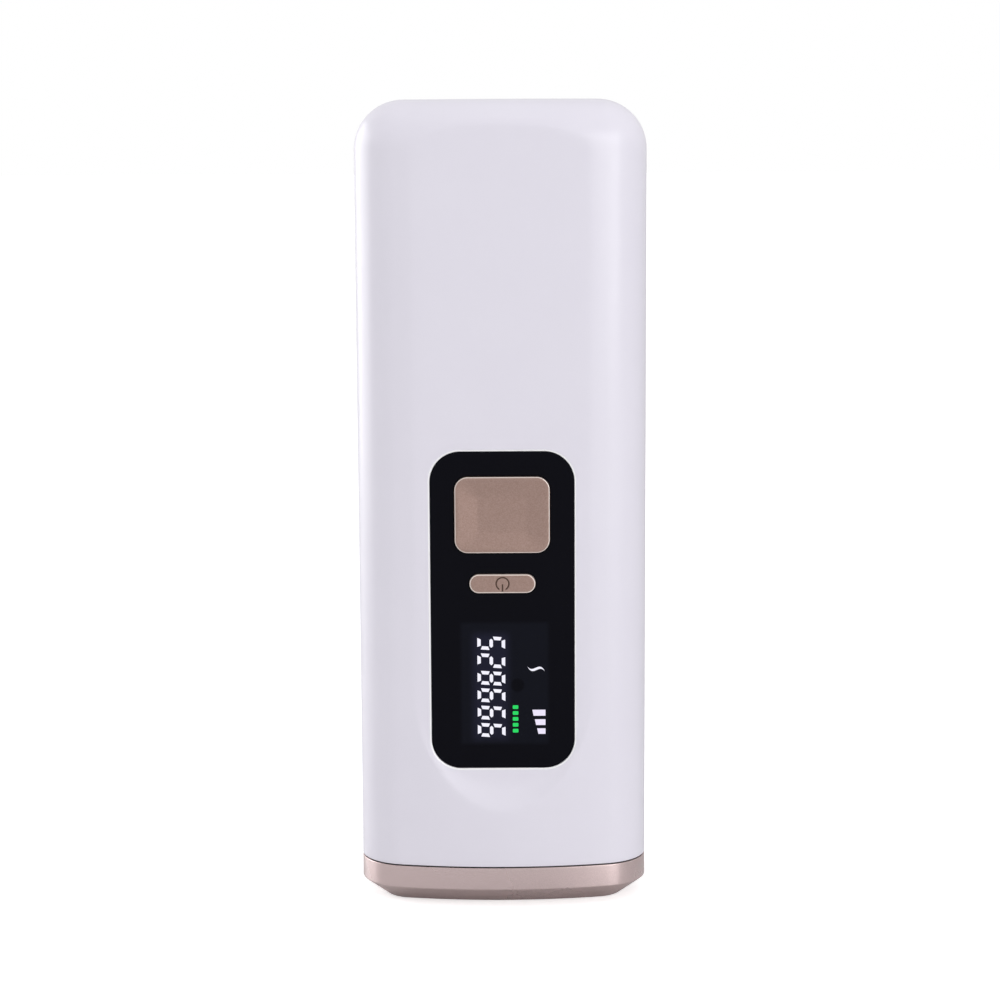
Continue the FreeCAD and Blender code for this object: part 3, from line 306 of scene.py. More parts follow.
patch = np.array([(x, 0.0, z) for z in range(3) for x in range(3)])
tile = walled(patch, grid_faces(3, 3), np.tile((0.0, -1.0, 0.0), (9, 1)), np.array((0, 0.5, 0)), 0.1)
print("a patch of 4 faces with its wall and rim:", len(tile[1]), "faces")

# %% [markdown]
# ## The skin of one half of the grip
#
# Both shells share one skin. Up the grip every row is the same outline. At the tail the rows follow a
# quarter circle inwards, and the flat end is closed by rows that slide towards the parting line. The
# front half then gets its flat field, and both get their holes.


# %% Half of the grip as a grid
def half_skin(front, heights, gap, end_rows=20):
    """Rows of the outline's front or rear half: upright rows at the given heights, then a quarter circle of
    the tail radius, then rows that move evenly from that ring to a line at the parting plane."""
    total = len(housing_ring(0))
    pick = np.arange(total // 2, total + 1) % total if front else np.arange(total // 2 + 1)
    angle = np.radians(np.linspace(0, 90, 19)[1:])
    insets = np.r_[np.zeros(len(heights)), TAIL * (1 - np.cos(angle))]
    levels = np.r_[heights, TOP - TAIL + TAIL * np.sin(angle)]
    rows = np.array([np.c_[housing_ring(i)[pick], np.full(len(pick), z)] for i, z in zip(insets, levels)])
    side = -1 if front else 1
    rows[..., 1] = side * np.maximum(np.abs(rows[..., 1]), gap)
    last = rows[-1]
    line = np.c_[np.linspace(last[0, 0], last[-1, 0], len(pick)) * 0.66, np.full(len(pick), side * gap),
                 np.full(len(pick), TOP)]
    t = np.linspace(0, 1, end_rows + 1)[1:, None, None]
    return np.r_[rows, last * (1 - t) + line * t]


def stacked(*spans):
    """Heights from one span to the next, each with its own spacing."""
    parts = []
    for low, high, step in spans:
        count = max(2, int(np.ceil((high - low) / step)) + 1)
        parts.append(np.linspace(low, high, count)[:-1])
    return np.r_[(*parts, [spans[-1][1]])]


def outline_depth(x):
    """How far the grip's face stands out at x: on the wide arc near the middle, else on the corner arc."""
    reach = HALF_WIDTH - CORNER
    middle = CROWN - HALF_DEPTH
    lean = np.arcsin(reach / (CROWN - CORNER))
    rise = (CROWN - CORNER) * np.cos(lean) - middle
    wide = np.sqrt(CROWN**2 - x**2) - middle
    corner = rise + np.sqrt(np.maximum(CORNER**2 - (np.abs(x) - reach) ** 2, 0))
    return np.where(np.abs(x) < CROWN * np.sin(lean), wide, corner)


print("the face stands out by", outline_depth(np.array((0.0, HALF_WIDTH - 1))).round(2), "mm at the middle",
      "and near a side")

# %% [markdown]
# ## The front shell
#
# The front has a long flat field that dies out into the round sides, and ends below the panel in a
# U-shaped scoop. As a formula, the field is a floor at a fixed depth; below the U it rises outwards with a
# steady slope. The face is the lower of the floor and the crowned outline. A soft minimum in place of a
# hard one leaves a gentle crease, as a mould would.

# %% Front shell
FIELD_DEPTH, FIELD_HALF, FIELD_FOOT, FIELD_BLEND = 19.294, 19.3, 27.6, 0.16
SCOOP_SLOPE, SCOOP_BLEND = 1.706 / 5.6, 1.5
RIM, PARTING = 0.16, 0.08
PANEL_CORNER, PANEL_PLAY = 6.6, 0.05
# Faces with Y below FRONT_SIDE are on the front, and NO_HOLE is a distance that opens nothing.
FRONT_SIDE, NO_HOLE = -15, 50


def soft_min(a, b, blend):
    """The smaller of a and b, rounded over where they meet: half of a + b less the root of
    (a - b)^2 + blend^2."""
    return (a + b - np.sqrt((a - b) ** 2 + blend**2)) / 2


def front_depth(x, z, face):
    """Depth of the front face: the soft minimum of the outline and the field's floor."""
    u_line = FIELD_FOOT + FIELD_HALF - np.sqrt(np.maximum(FIELD_HALF**2 - x**2, 0))
    below = u_line - z
    ramp = (below + np.sqrt(below**2 + SCOOP_BLEND**2)) / 2
    return soft_min(face, FIELD_DEPTH + SCOOP_SLOPE * ramp, FIELD_BLEND)


def front_lift(p):
    """Puts points of the flat field back on its surface."""
    return np.c_[p[:, 0], -front_depth(p[:, 0], p[:, 2], outline_depth(p[:, 0])), p[:, 2]]


panel_mid = (panel_low + panel_high) / 2
panel_half = (panel_high - panel_low) / 2


def recess_distance(p):
    """Distance to the panel's recess, on the front face only."""
    grow = PANEL_PLAY + RIM
    d = rounded_box(p, 0, panel_mid[2], panel_half[0] + grow, panel_half[2] + grow, PANEL_CORNER + grow)
    return np.where(p[:, 1] < FRONT_SIDE, d, NO_HOLE)


front_rows = stacked((SHELL_BASE + RIM, 19, 0.8), (19, 50, 0.5), (50, 104, 0.75), (104, TOP - TAIL, 1.6))
skin = half_skin(True, front_rows, PARTING + RIM)
skin[..., 1] = -front_depth(skin[..., 0], skin[..., 2], -skin[..., 1])
normals = grid_normals(skin).reshape(-1, 3)
faces = grid_faces(*skin.shape[:2])
points, faces, _ = opened(skin.reshape(-1, 3), faces, recess_distance, front_lift)
front_shell = make_piece("front_shell_skin", *walled(points, faces, normals, -WALL * normals, RIM), "handle",
                         "white_housing", ["front_shell"])

# %% [markdown]
# ## The rear shell
#
# Behind are two grilles: a round field of slots where the blower draws air in, and five long slots where
# the warm air leaves. Four screw wells and the power inlet are round holes. All of them are one distance
# formula, the smallest of the distances to each. The wells need walls of their own, which are turned
# like a lathe part.

# %% Rear shell
screw_low, screw_high = node_box("housing_screws")
SCREW_HEAD, WELL_RADIUS, INLET_RADIUS = 2.4, 2.7, 4.3
screw_x = screw_high[0] - SCREW_HEAD
screw_z = (screw_low[2] + SCREW_HEAD, screw_high[2] - SCREW_HEAD)
fan_z = sum(corner[2] for corner in node_box("blower_rotor")) / 2
jack_y = sum(corner[1] for corner in node_box("dc_jack_pin")) / 2
SLOT, INTAKE_PITCH, INTAKE_RADIUS = 0.75, 2.7, 14.6
OUTLET_PITCH, OUTLET_BASE, OUTLET_HALF = 2.9, 25.2, 15.75
EDGE, TAIL_FACE = 0.14, TOP - 0.5


def rear_distance(p):
    """Distance to the nearest of the grille slots, screw wells and the inlet's hole."""
    near = []
    for step in range(-5, 6):
        reach = np.sqrt(INTAKE_RADIUS**2 - (step * INTAKE_PITCH) ** 2) + SLOT
        near.append(stadium(p, 0, fan_z + step * INTAKE_PITCH, reach + EDGE, SLOT + EDGE))
    for step in range(5):
        near.append(stadium(p, 0, OUTLET_BASE + step * OUTLET_PITCH, OUTLET_HALF + EDGE, SLOT + EDGE))
    for x in (-screw_x, screw_x):
        for z in screw_z:
            near.append(np.hypot(p[:, 0] - x, p[:, 2] - z) - WELL_RADIUS - EDGE)
    inlet = np.hypot(p[:, 0], p[:, 1] - jack_y) - INLET_RADIUS - EDGE
    near.append(np.where(p[:, 2] > TAIL_FACE, inlet, NO_HOLE))
    return np.min(near, axis=0)


def rear_lift(p):
    """Puts points back on the rear face, or on the flat end of the tail."""
    y = np.where(p[:, 2] > TAIL_FACE, p[:, 1], outline_depth(p[:, 0]))
    return np.c_[p[:, 0], y, p[:, 2]]


rear_rows = stacked((SHELL_BASE + EDGE, 23.2, 1.4), (23.2, 44, 0.484), (44, 50.6, 1.1), (50.6, 81.4, 0.45),
                    (81.4, 146, 1.7), (146, 154, 0.5), (154, TOP - TAIL, 1.5))
skin = half_skin(False, rear_rows, PARTING + EDGE)
normals = grid_normals(skin).reshape(-1, 3)
faces = grid_faces(*skin.shape[:2])
points, faces, edge = opened(skin.reshape(-1, 3), faces, rear_distance, rear_lift)
inward = -WALL * normals
on_back = edge[points[edge, 2] < TAIL_FACE]
inward[on_back] = (0, -WALL, 0)
rear_shell = make_piece("rear_shell_skin", *walled(points, faces, normals, inward, EDGE), "handle",
                        "white_housing", ["rear_shell"])


# %% Screw wells inside the rear shell
def turned(profile, steps=40):
    """Lathe work: each profile point of radius and height goes round a circle. Height runs along +Y."""
    angle = np.linspace(0, 2 * np.pi, steps, endpoint=False)[None, :]
    radius, height = np.array(profile).T[:, :, None]
    return np.stack(np.broadcast_arrays(radius * np.cos(angle), height, -radius * np.sin(angle)), -1)


WELL_OUTER, SHANK_RADIUS, WELL_FRONT, HEAD_SEAT, WELL_BACK = 3.8, 1.35, 0.1, 7.5, 15.8
well = turned([(WELL_OUTER, WELL_FRONT), (WELL_OUTER, WELL_BACK), (WELL_RADIUS, WELL_BACK),
               (WELL_RADIUS, HEAD_SEAT), (SHANK_RADIUS, HEAD_SEAT), (SHANK_RADIUS, WELL_FRONT)])
spots = np.array([(x, 0, z) for x in (-screw_x, screw_x) for z in screw_z])
well_faces = grid_faces(*well.shape[:2], wrap=True, loop=True)
points = well.reshape(1, -1, 3) + spots[:, None]
faces = well_faces[None] + (np.arange(len(spots)) * (well_faces.max() + 1))[:, None, None]
screw_wells = make_piece("screw_wells", points, faces.reshape(-1, 4), "handle", "white_housing", smooth=False)

# %% [markdown]
# ## The lip between the shells
#
# The two shells meet with a hairline gap at mid depth. On the real grip a lip on one shell overlaps the
# other, so no light passes through the gap. Here a thin band closes it from inside: an arch that follows
# the grip's side outline, set in from the surface.

# %% Parting lip
def arch_path(inset, steps=12):
    """The grip's outline at mid depth, in X and Z: up one side, round a quarter circle of the tail radius,
    across the end, and down the other side."""
    turn = np.linspace(0, np.pi / 2, steps)[:, None]
    radius = TAIL - inset
    bend = (HALF_WIDTH - TAIL, TOP - TAIL) + radius * np.c_[np.cos(turn), np.sin(turn)]
    right = np.r_[[(HALF_WIDTH - inset, SHELL_BASE)], bend]
    return np.r_[right, right[::-1] * (-1, 1)]


LIP_OUT, LIP_IN, LIP_HALF = 1.3, 2.3, 0.1
section = ((LIP_OUT, -LIP_HALF), (LIP_OUT, LIP_HALF), (LIP_IN, LIP_HALF), (LIP_IN, -LIP_HALF))
points = np.stack([np.insert(arch_path(inset), 1, y, axis=1) for inset, y in section], axis=1)
parting_lip = make_piece("parting_lip", points, closed_faces(*points.shape[:2]), "handle", "white_housing",
                         smooth=False)

# %% [markdown]
# ## The collar and its seam
#
# The collar is one closed loop of stations: up the wall, over the ridge, down the chamfer, under the
# foot, into the mouth and back. Each station is an outline, so the loop of outlines closes into a solid
# ring. A thin dark gasket sits in the seam between collar and shells.


# %% Collar and gasket
def inset_station(inset, height):
    return [HALF_WIDTH - inset, HALF_DEPTH - inset, CORNER - inset, 1 / (CROWN - inset), height]


SEAM_LOW, SEAM_HIGH = (corner[2] for corner in node_box("seam_gasket"))
RIDGE, CHAMFER, LEDGE, SHELF = 4.1, 5.5, 2.4, SEAM_LOW - 1
MOUTH, CAVITY = (23, 12, 5, 0), (24.5, 14.5, 4.5, 0)
GASKET_IN, GASKET_OUT = 2.3, 0.5
DETAIL = {"side": 6, "bend": 26, "face": 24}
loop = [inset_station(WALL, SHELF), inset_station(WALL, SEAM_LOW), inset_station(0, SEAM_LOW),
        inset_station(0, RIDGE), inset_station(CHAMFER, 0), [*MOUTH, 0], [*MOUTH, LEDGE], [*CAVITY, LEDGE],
        [*CAVITY, SHELF], inset_station(WALL, SHELF)]
points = loft(softened(loop, [0.1, 0.2, 0.24, 0.3, 0.3, 0.2, 0.2, 0.2], steps=5)[:-1], **DETAIL)
faces = grid_faces(*points.shape[:2], wrap=True, loop=True)[:, ::-1]
collar = make_piece("collar_skin", points, faces, "handle", "rose_gold", ["head_collar"])
loop = [(GASKET_IN, SEAM_LOW), (GASKET_OUT, SEAM_LOW), (GASKET_OUT, SEAM_HIGH), (GASKET_IN, SEAM_HIGH)]
points = loft([inset_station(*corner) for corner in loop], **DETAIL)
faces = grid_faces(*points.shape[:2], wrap=True, loop=True)
gasket = make_piece("seam_gasket_ring", points, faces, "handle", "black_rubber", ["seam_gasket"], smooth=False)

# %% [markdown]
# ## The control panel
#
# The panel is a flat sheet of black acrylic with a polished edge and two holes. It uses the same two
# steps as the shells: a fine grid, whose outer edge and holes come from one distance formula, and a wall.

# %% Panel sheet
flash_low, flash_high = node_box("flash_button")
power_low, power_high = node_box("power_button")
flash_mid, power_mid = (flash_low + flash_high) / 2, (power_low + power_high) / 2
FLASH_HALF, FLASH_CORNER = np.array((10.4, 8.4)), 2.9
POWER_HALF, POWER_CORNER = np.array((7.2, 2.05)), 2.0
FACE = panel_low[1]
PANEL_EDGE, PANEL_THICK, BUTTON_PLAY = 0.12, 1.5, 0.15


def panel_distance(p):
    """Below 0 outside the panel's outline and inside either button's hole."""
    play = BUTTON_PLAY + PANEL_EDGE
    outside = -rounded_box(p, 0, panel_mid[2], panel_half[0] - PANEL_EDGE, panel_half[2] - PANEL_EDGE,
                           PANEL_CORNER - PANEL_EDGE)
    flash = rounded_box(p, 0, flash_mid[2], *(FLASH_HALF + play), FLASH_CORNER + play)
    power = rounded_box(p, 0, power_mid[2], *(POWER_HALF + play), POWER_CORNER + play)
    return np.minimum(outside, np.minimum(flash, power))


def flat_grid(x_span, z_span, y, step):
    """A flat upright grid that faces -Y."""
    x = np.arange(x_span[0], x_span[1] + step, step)
    z = np.arange(z_span[0], z_span[1] + step, step)
    grid_x, grid_z = np.meshgrid(x, z)
    return np.stack([grid_x, np.full_like(grid_x, y), grid_z], -1)


def sheet_piece(name, sheet, distance, thick, rim, *settings):
    """Opens a flat grid where the distance is below 0, gives it its wall and makes the piece."""
    points, faces, _ = opened(sheet.reshape(-1, 3), grid_faces(*sheet.shape[:2]), distance, lambda p: p)
    flat = np.tile((0.0, -1.0, 0.0), (len(points), 1))
    return make_piece(name, *walled(points, faces, flat, -thick * flat, rim), *settings)


sheet = flat_grid((-16.4, 16.4), (panel_low[2] - 0.6, panel_high[2] + 0.6), FACE, 0.45)
panel = sheet_piece("panel_sheet", sheet, panel_distance, PANEL_THICK, PANEL_EDGE, "handle", "black_panel",
                    ["control_panel"])

# %% [markdown]
# ## The flash button
#
# The big button is a painted cap with a thin flat rim and a dished middle, so a thumb finds it without
# looking. It is one loft from the tip of its stem, out to the retaining flange behind the panel, up the
# cap's side, over the rim and down into the dish, closed with a flat face in the middle.

# %% Flash button
stem = [1.6, 1.6, 1.59, 0]
flange = [11.7, 9.7, 4.2, 0]
cap = [*FLASH_HALF, FLASH_CORNER, 0]
dish = [5.3, 3.8, 0.6, 0]
middle = [0.6, 0.4, 0.2, 0]
BUTTON_FACE = flash_low[1]
DISH_FLOOR = BUTTON_FACE + 0.55
FLANGE_BACK, FLANGE_FRONT = -16.95, -17.75


def shrunk(outline, by):
    return [outline[0] - by, outline[1] - by, max(outline[2] - by, 0.3), 0]


profile = [[*stem, flash_high[1]], [*stem, FLANGE_BACK], [*flange, FLANGE_BACK], [*flange, FLANGE_FRONT],
           [*cap, FLANGE_FRONT], [*cap, BUTTON_FACE], [*shrunk(cap, 0.75), BUTTON_FACE], [*dish, DISH_FLOOR],
           [*middle, DISH_FLOOR]]
stations = softened(profile, [0.1, 0.1, 0.1, 0.1, 0.26, 0.2, 0.5], steps=5)
points = facing_front(loft(stations, side=8, bend=10, face=10), 0, flash_mid[2])
faces = closed_faces(*points.shape[:2])
flash_button = make_piece("flash_button_cap", points, faces, "flash_key", "rose_gold", ["flash_button"])

# %% [markdown]
# ## The power button and its mark
#
# The small button is a pill with the usual power mark sunk into it: a ring with a gap and a stroke. The
# top is a thin pierced sheet, so the mark is a real groove, and a body closes it from behind; the body is darker
# where it shows in the groove, as painted shade.

# %% Power button
# The mark's ring radius, half its line's width, half its gap, and its stroke's middle and half length.
MARK_RADIUS, MARK_LINE, MARK_GAP, STROKE_MIDDLE, STROKE_HALF = 1.4, 0.22, 0.62, 0.95, 0.72
FACE_INSET, FACE_THICK, FACE_RIM = 0.3, 0.4, 0.06
POWER_FACE = power_low[1]
GROOVE_FLOOR = POWER_FACE + 0.14


def mark_distance(p):
    """Below 0 outside the pill, on the ring except at its gap, and on the stroke through the gap."""
    x, z = p[:, 0], p[:, 2] - power_mid[2]
    ring_line = np.abs(np.hypot(x, z) - MARK_RADIUS) - MARK_LINE
    in_gap = (np.abs(x) < MARK_GAP) & (z < 0)
    ring_line = np.where(in_gap, np.maximum(ring_line, MARK_GAP - np.abs(x)), ring_line)
    stroke = np.hypot(x, np.maximum(np.abs(z + STROKE_MIDDLE) - STROKE_HALF, 0)) - MARK_LINE
    outside = -rounded_box(p, 0, power_mid[2], *(POWER_HALF - FACE_INSET), POWER_CORNER - FACE_INSET)
    return np.minimum(outside, np.minimum(ring_line, stroke))


sheet = flat_grid((-7.5, 7.5), (power_mid[2] - 2.5, power_mid[2] + 2.5), POWER_FACE, 0.1)
power_face = sheet_piece("power_button_face", sheet, mark_distance, FACE_THICK, FACE_RIM, "power_key",
                         "rose_gold", ["power_button"])
pill = [*POWER_HALF, POWER_CORNER, 0]
pill_flange = [8.5, 3.35, 3.3, 0]
middle = [0.4, 0.3, 0.2, 0]
profile = [[*stem, power_high[1]], [*stem, FLANGE_BACK], [*pill_flange, FLANGE_BACK],
           [*pill_flange, FLANGE_FRONT], [*pill, FLANGE_FRONT], [*pill, GROOVE_FLOOR],
           [*shrunk(pill, 0.2), GROOVE_FLOOR], [*middle, GROOVE_FLOOR]]
points = facing_front(loft(softened(profile, 0.05, steps=2), side=2, bend=12, face=10), 0, power_mid[2])
power_body = make_piece("power_button_body", points, closed_faces(*points.shape[:2]), "power_key", "rose_gold")

# %% [markdown]
# ## The lit display
#
# The display shines through the dark panel: six seven-segment numerals that read from the bottom up, a
# row of green status cells, three level bars and a small wave. Each lit shape is a thin tile just proud of
# the panel. All tiles of one kind are one mesh, worked out as outlines and then given a small height.


# %% Tiles from outlines
TILE_PROUD, TILE_SUNK = 0.02, 0.05


def tiles(name, outlines):
    """Each outline is a list of X and Z points. A tile has a front face, a back face and sides."""
    points, faces, start = [], [], 0
    for outline in outlines:
        outline = np.asarray(outline, float)
        after = np.roll(outline, -1, 0)
        area = np.sum(outline[:, 0] * after[:, 1] - outline[:, 1] * after[:, 0])
        outline = outline if area > 0 else outline[::-1]
        count = len(outline)
        points += [np.insert(outline, 1, y, axis=1) for y in (FACE - TILE_PROUD, FACE + TILE_SUNK)]
        here = np.arange(count)
        after = (here + 1) % count
        faces += [(start + here).tolist(), (start + count + here[::-1]).tolist()]
        faces += (start + np.c_[after, here, here + count, after + count]).tolist()
        start += 2 * count
    return make_piece(name, np.concatenate(points), faces, "handle", "display_glass", smooth=False)


# %% [markdown]
# ## The shot counter's numerals
#
# Each numeral is made of bars on a frame of seven lines. The outer bars are trapezoids, long outside and
# short inside, and the one across the middle is pointed at both ends. The foot of every numeral is set
# back a little, so that it leans.


# %% Six numerals
DIGIT_WIDTH, DIGIT_HEIGHT, PITCH, STROKE, SLANT = 3.05, 6.12, 3.92, 0.76, 0.069
DIGIT_X, DIGIT_Z = -5.60, 38.73
LIT = {"9": "abcdfg", "8": "abcdefg", "2": "abdeg", "5": "acdfg"}
# How much each bar is cut back from the corners: at its outer edge, on its centre line, at its inner edge.
END_CUT, SIDE_CUT, MIDDLE_CUT = (0.14, 0.29, 0.46), (0.38, 0.52, 0.68), (0.485, 0.125, 0.485)
LEFT, RIGHT, FOOT, HEAD = STROKE / 2, DIGIT_WIDTH - STROKE / 2, STROKE / 2, DIGIT_HEIGHT - STROKE / 2
WAIST = DIGIT_HEIGHT / 2
# Each bar's start, end, cuts and outward direction.
BARS = {"a": ((LEFT, HEAD), (RIGHT, HEAD), END_CUT, (0, 1)),
        "b": ((RIGHT, WAIST), (RIGHT, HEAD), SIDE_CUT, (1, 0)),
        "c": ((RIGHT, FOOT), (RIGHT, WAIST), SIDE_CUT, (1, 0)),
        "d": ((LEFT, FOOT), (RIGHT, FOOT), END_CUT, (0, -1)),
        "e": ((LEFT, FOOT), (LEFT, WAIST), SIDE_CUT, (-1, 0)),
        "f": ((LEFT, WAIST), (LEFT, HEAD), SIDE_CUT, (-1, 0)),
        "g": ((LEFT, WAIST), (RIGHT, WAIST), MIDDLE_CUT, (0, 1))}


def segment(start, end, cuts, outward):
    """A bar from start to end as six points: start and end moved along by a cut, and out or in by half a
    stroke."""
    start, end = np.array(start, float), np.array(end, float)
    along, across = unit(end - start), np.array(outward) * STROKE / 2
    outer, tip, inner = (along * cut for cut in cuts)
    return np.array([start + tip, start + outer + across, end - outer + across, end - tip,
                     end - inner - across, start + inner - across])


outlines = []
for position, character in enumerate("999825"):
    for bar in (segment(*BARS[name]) for name in LIT[character]):
        drop = DIGIT_HEIGHT - bar[:, 1]
        outlines.append(np.c_[DIGIT_X + drop, DIGIT_Z + position * PITCH + bar[:, 0] - SLANT * drop])
counter = tiles("shot_counter", outlines)


# %% Status cells, level bars and wave
def pill_outline(x, z, half_x, half_z, radius, steps=5):
    """A rectangle with round corners as a list of points."""
    turn = np.linspace(0, np.pi / 2, steps)
    parts = []
    for quarter, (side, end) in enumerate(((1, 1), (-1, 1), (-1, -1), (1, -1))):
        angle = turn + quarter * np.pi / 2
        parts.append(np.c_[x + side * (half_x - radius) + radius * np.cos(angle),
                           z + end * (half_z - radius) + radius * np.sin(angle)])
    return np.concatenate(parts)


CELL_X, CELL_Z, CELL_PITCH = 2.75, 39.95, 1.33
cells = [pill_outline(CELL_X, CELL_Z + CELL_PITCH * k, 0.62, 0.42, 0.2) for k in range(5)]
status = tiles("status_cells", cells)
BAR_END, BAR_LEAN = 9.35, 0.28
level = tiles("level_bars", [
    [(BAR_END, low), (BAR_END, high), (BAR_END - length, high), (BAR_END - length + BAR_LEAN, low)]
    for length, low, high in ((1.85, 39.2, 40.45), (2.35, 41.2, 42.5), (2.9, 43.3, 44.65))])
# The wave's middle line is a cubic through four heights, and its width follows a sine to a point at each end.
WAVE_START, WAVE_LENGTH, WAVE_Z, WAVE_HALF = 5.45, 3.75, 53.85, 0.29
t = np.linspace(0, 1, 28)
wave_x = WAVE_START + WAVE_LENGTH * t
wave_z = WAVE_Z + np.polyval(np.polyfit((0, 0.3, 0.7, 1), (0.5, -0.24, 0.24, -0.5), 3), t)
half = WAVE_HALF * np.sin(np.pi * t) ** 0.7
wave = np.r_[np.c_[wave_x, wave_z + half], np.c_[wave_x, wave_z - half][::-1][1:-1]]
wave_mark = tiles("wave_mark", [wave])

# %% [markdown]
# ## Short names for nodes
#
# A material is a small program of nodes. Written out in full it is long, so a few helpers add a node, set
# its values and link its inputs in one line. Sums, ranges and noise are needed most often.


# %% Node helpers
def linked_node(tree, kind, values=None, **settings):
    """Adds a node, sets its properties, and fills its inputs with numbers or links."""
    node = tree.nodes.new(kind)
    for key, value in settings.items():
        setattr(node, key, value)
    for key, value in (values or {}).items():
        if isinstance(value, bpy.types.NodeSocket):
            tree.links.new(value, node.inputs[key])
        else:
            node.inputs[key].default_value = value
    return node


def maths(tree, kind, *values, clamp=False):
    """One sum, product or other operation on numbers or links."""
    node = linked_node(tree, "ShaderNodeMath", dict(enumerate(values)), operation=kind, use_clamp=clamp)
    return node.outputs[0]


def vector_number(tree, kind, first, second):
    """A distance or dot product of two vectors."""
    node = linked_node(tree, "ShaderNodeVectorMath", {0: first, 1: second}, operation=kind)
    return node.outputs["Value"]


def ranged(tree, value, low, high, start=0.0, end=1.0, soft=False):
    """Carries low to start and high to end, and stays flat outside. soft bends it into an S."""
    node = linked_node(tree, "ShaderNodeMapRange",
                       {"Value": value, "From Min": low, "From Max": high, "To Min": start, "To Max": end},
                       interpolation_type="SMOOTHSTEP" if soft else "LINEAR")
    return node.outputs["Result"]


def own_place(tree):
    """Where a point lies in its own piece, in metres."""
    return linked_node(tree, "ShaderNodeTexCoord").outputs["Object"]


def noise(tree, place, scale, detail):
    """Soft noise between 0 and 1 at a place."""
    values = {"Vector": place, "Scale": scale, "Detail": detail}
    return linked_node(tree, "ShaderNodeTexNoise", values).outputs["Fac"]


def bumped(tree, sink, height, strength, distance):
    """Turns a height into a normal on the sink's Normal socket."""
    bump = linked_node(tree, "ShaderNodeBump", {"Height": height, "Strength": strength, "Distance": distance})
    tree.links.new(bump.outputs["Normal"], sink.inputs["Normal"])


def new_group(name, inputs, outputs):
    """A node group with float inputs and the listed outputs, and its two end nodes."""
    group = bpy.data.node_groups.new(name, "ShaderNodeTree")
    for label, value in inputs:
        socket = group.interface.new_socket(label, in_out="INPUT", socket_type="NodeSocketFloat")
        socket.default_value = value
    for label, kind in outputs:
        group.interface.new_socket(label, in_out="OUTPUT", socket_type=kind)
    return group, group.nodes.new("NodeGroupInput"), group.nodes.new("NodeGroupOutput")


helpers = (linked_node, maths, vector_number, ranged, own_place, noise, bumped, new_group)
print("node helpers:", ", ".join(helper.__name__ for helper in helpers))

# %% [markdown]
# ## Shared surface effects
#
# Moulded plastic is never perfectly even: its gloss drifts a little from place to place and its surface
# carries a fine texture. One node group makes that drift and texture for every material. It takes a
# roughness, how far it may drift, and the size of the grain, and it puts out a roughness and a normal.
# The shaders themselves stay in each material.


# %% The moulded-surface group
def moulded_group():
    """Roughness is the base plus drift times soft noise. Height is fine noise at the grain's scale."""
    inputs = [("Roughness", 0.4), ("Drift", 0.06), ("Grain Scale", 1500.0), ("Grain Height", 0.05),
              ("Drift Scale", 60.0)]
    outputs = [("Roughness", "NodeSocketFloat"), ("Normal", "NodeSocketVector"), ("Tone", "NodeSocketFloat")]
    group, source, sink = new_group("Moulded surface", inputs, outputs)
    given = source.outputs
    place = own_place(group)
    soft = noise(group, place, given["Drift Scale"], 3.0)
    part = maths(group, "MULTIPLY", maths(group, "SUBTRACT", soft, 0.5), given["Drift"])
    rough = maths(group, "ADD", part, given["Roughness"], clamp=True)
    bumped(group, sink, noise(group, place, given["Grain Scale"], 2.0), given["Grain Height"], 0.0002)
    group.links.new(rough, sink.inputs["Roughness"])
    group.links.new(soft, sink.inputs["Tone"])
    return group


MOULDED = moulded_group()
print(MOULDED.name, "has", len(MOULDED.nodes), "nodes")

# %% [markdown]
# ## A painted highlight along an outline
#
# Where two parts meet, a rounded rim catches the light as a thin bright line. Here that line is painted into the
# colour as a painted highlight.
# The second group finds that line from a distance formula, so it stays sharp at any zoom.


# %% The outline group
def outline_group():
    """A thin line along a rounded rectangle in X and Z. With q the size of the offset from the centre, less
    the half sizes, plus the radius, the distance is the length of q's positive part, less the radius. The
    mask is 1 on the line and falls smoothly to 0 at Width from it."""
    inputs = [("Centre X", 0.0), ("Centre Z", 0.0), ("Half Width", 0.01), ("Half Height", 0.01),
              ("Radius", 0.003), ("Width", 0.0002)]
    group, source, sink = new_group("Outline line", inputs, [("Mask", "NodeSocketFloat")])
    given = source.outputs
    parts = linked_node(group, "ShaderNodeSeparateXYZ", {"Vector": own_place(group)}).outputs
    squares = []
    for axis, centre, half in (("X", "Centre X", "Half Width"), ("Z", "Centre Z", "Half Height")):
        off = maths(group, "ABSOLUTE", maths(group, "SUBTRACT", parts[axis], given[centre]))
        core = maths(group, "SUBTRACT", given[half], given["Radius"])
        q = maths(group, "MAXIMUM", maths(group, "SUBTRACT", off, core), 0.0)
        squares.append(maths(group, "MULTIPLY", q, q))
    span = maths(group, "SQRT", maths(group, "ADD", *squares))
    gap = maths(group, "ABSOLUTE", maths(group, "SUBTRACT", span, given["Radius"]))
    group.links.new(ranged(group, gap, given["Width"], 0.0, soft=True), sink.inputs["Mask"])
    return group


OUTLINE = outline_group()
print(OUTLINE.name, "has", len(OUTLINE.nodes), "nodes")


# %% Helpers that every material uses
def new_material(name, settings):
    """A material with one Principled shader. Numbers and colours go on the shader's own sockets."""
    material = bpy.data.materials.new(name)
    material.use_nodes = True
    shader = material.node_tree.nodes["Principled BSDF"]
    for key, value in settings.items():
        shader.inputs[key].default_value = value
    print("material:", name)
    return material, material.node_tree, shader


def moulded(tree, shader, **values):
    """Places the group in a material, links its roughness and normal to the shader, and gives its tone."""
    node = tree.nodes.new("ShaderNodeGroup")
    node.node_tree = MOULDED
    for key, value in values.items():
        node.inputs[key.replace("_", " ").title()].default_value = value
    tree.links.new(node.outputs["Roughness"], shader.inputs["Roughness"])
    tree.links.new(node.outputs["Normal"], shader.inputs["Normal"])
    return node.outputs["Tone"]


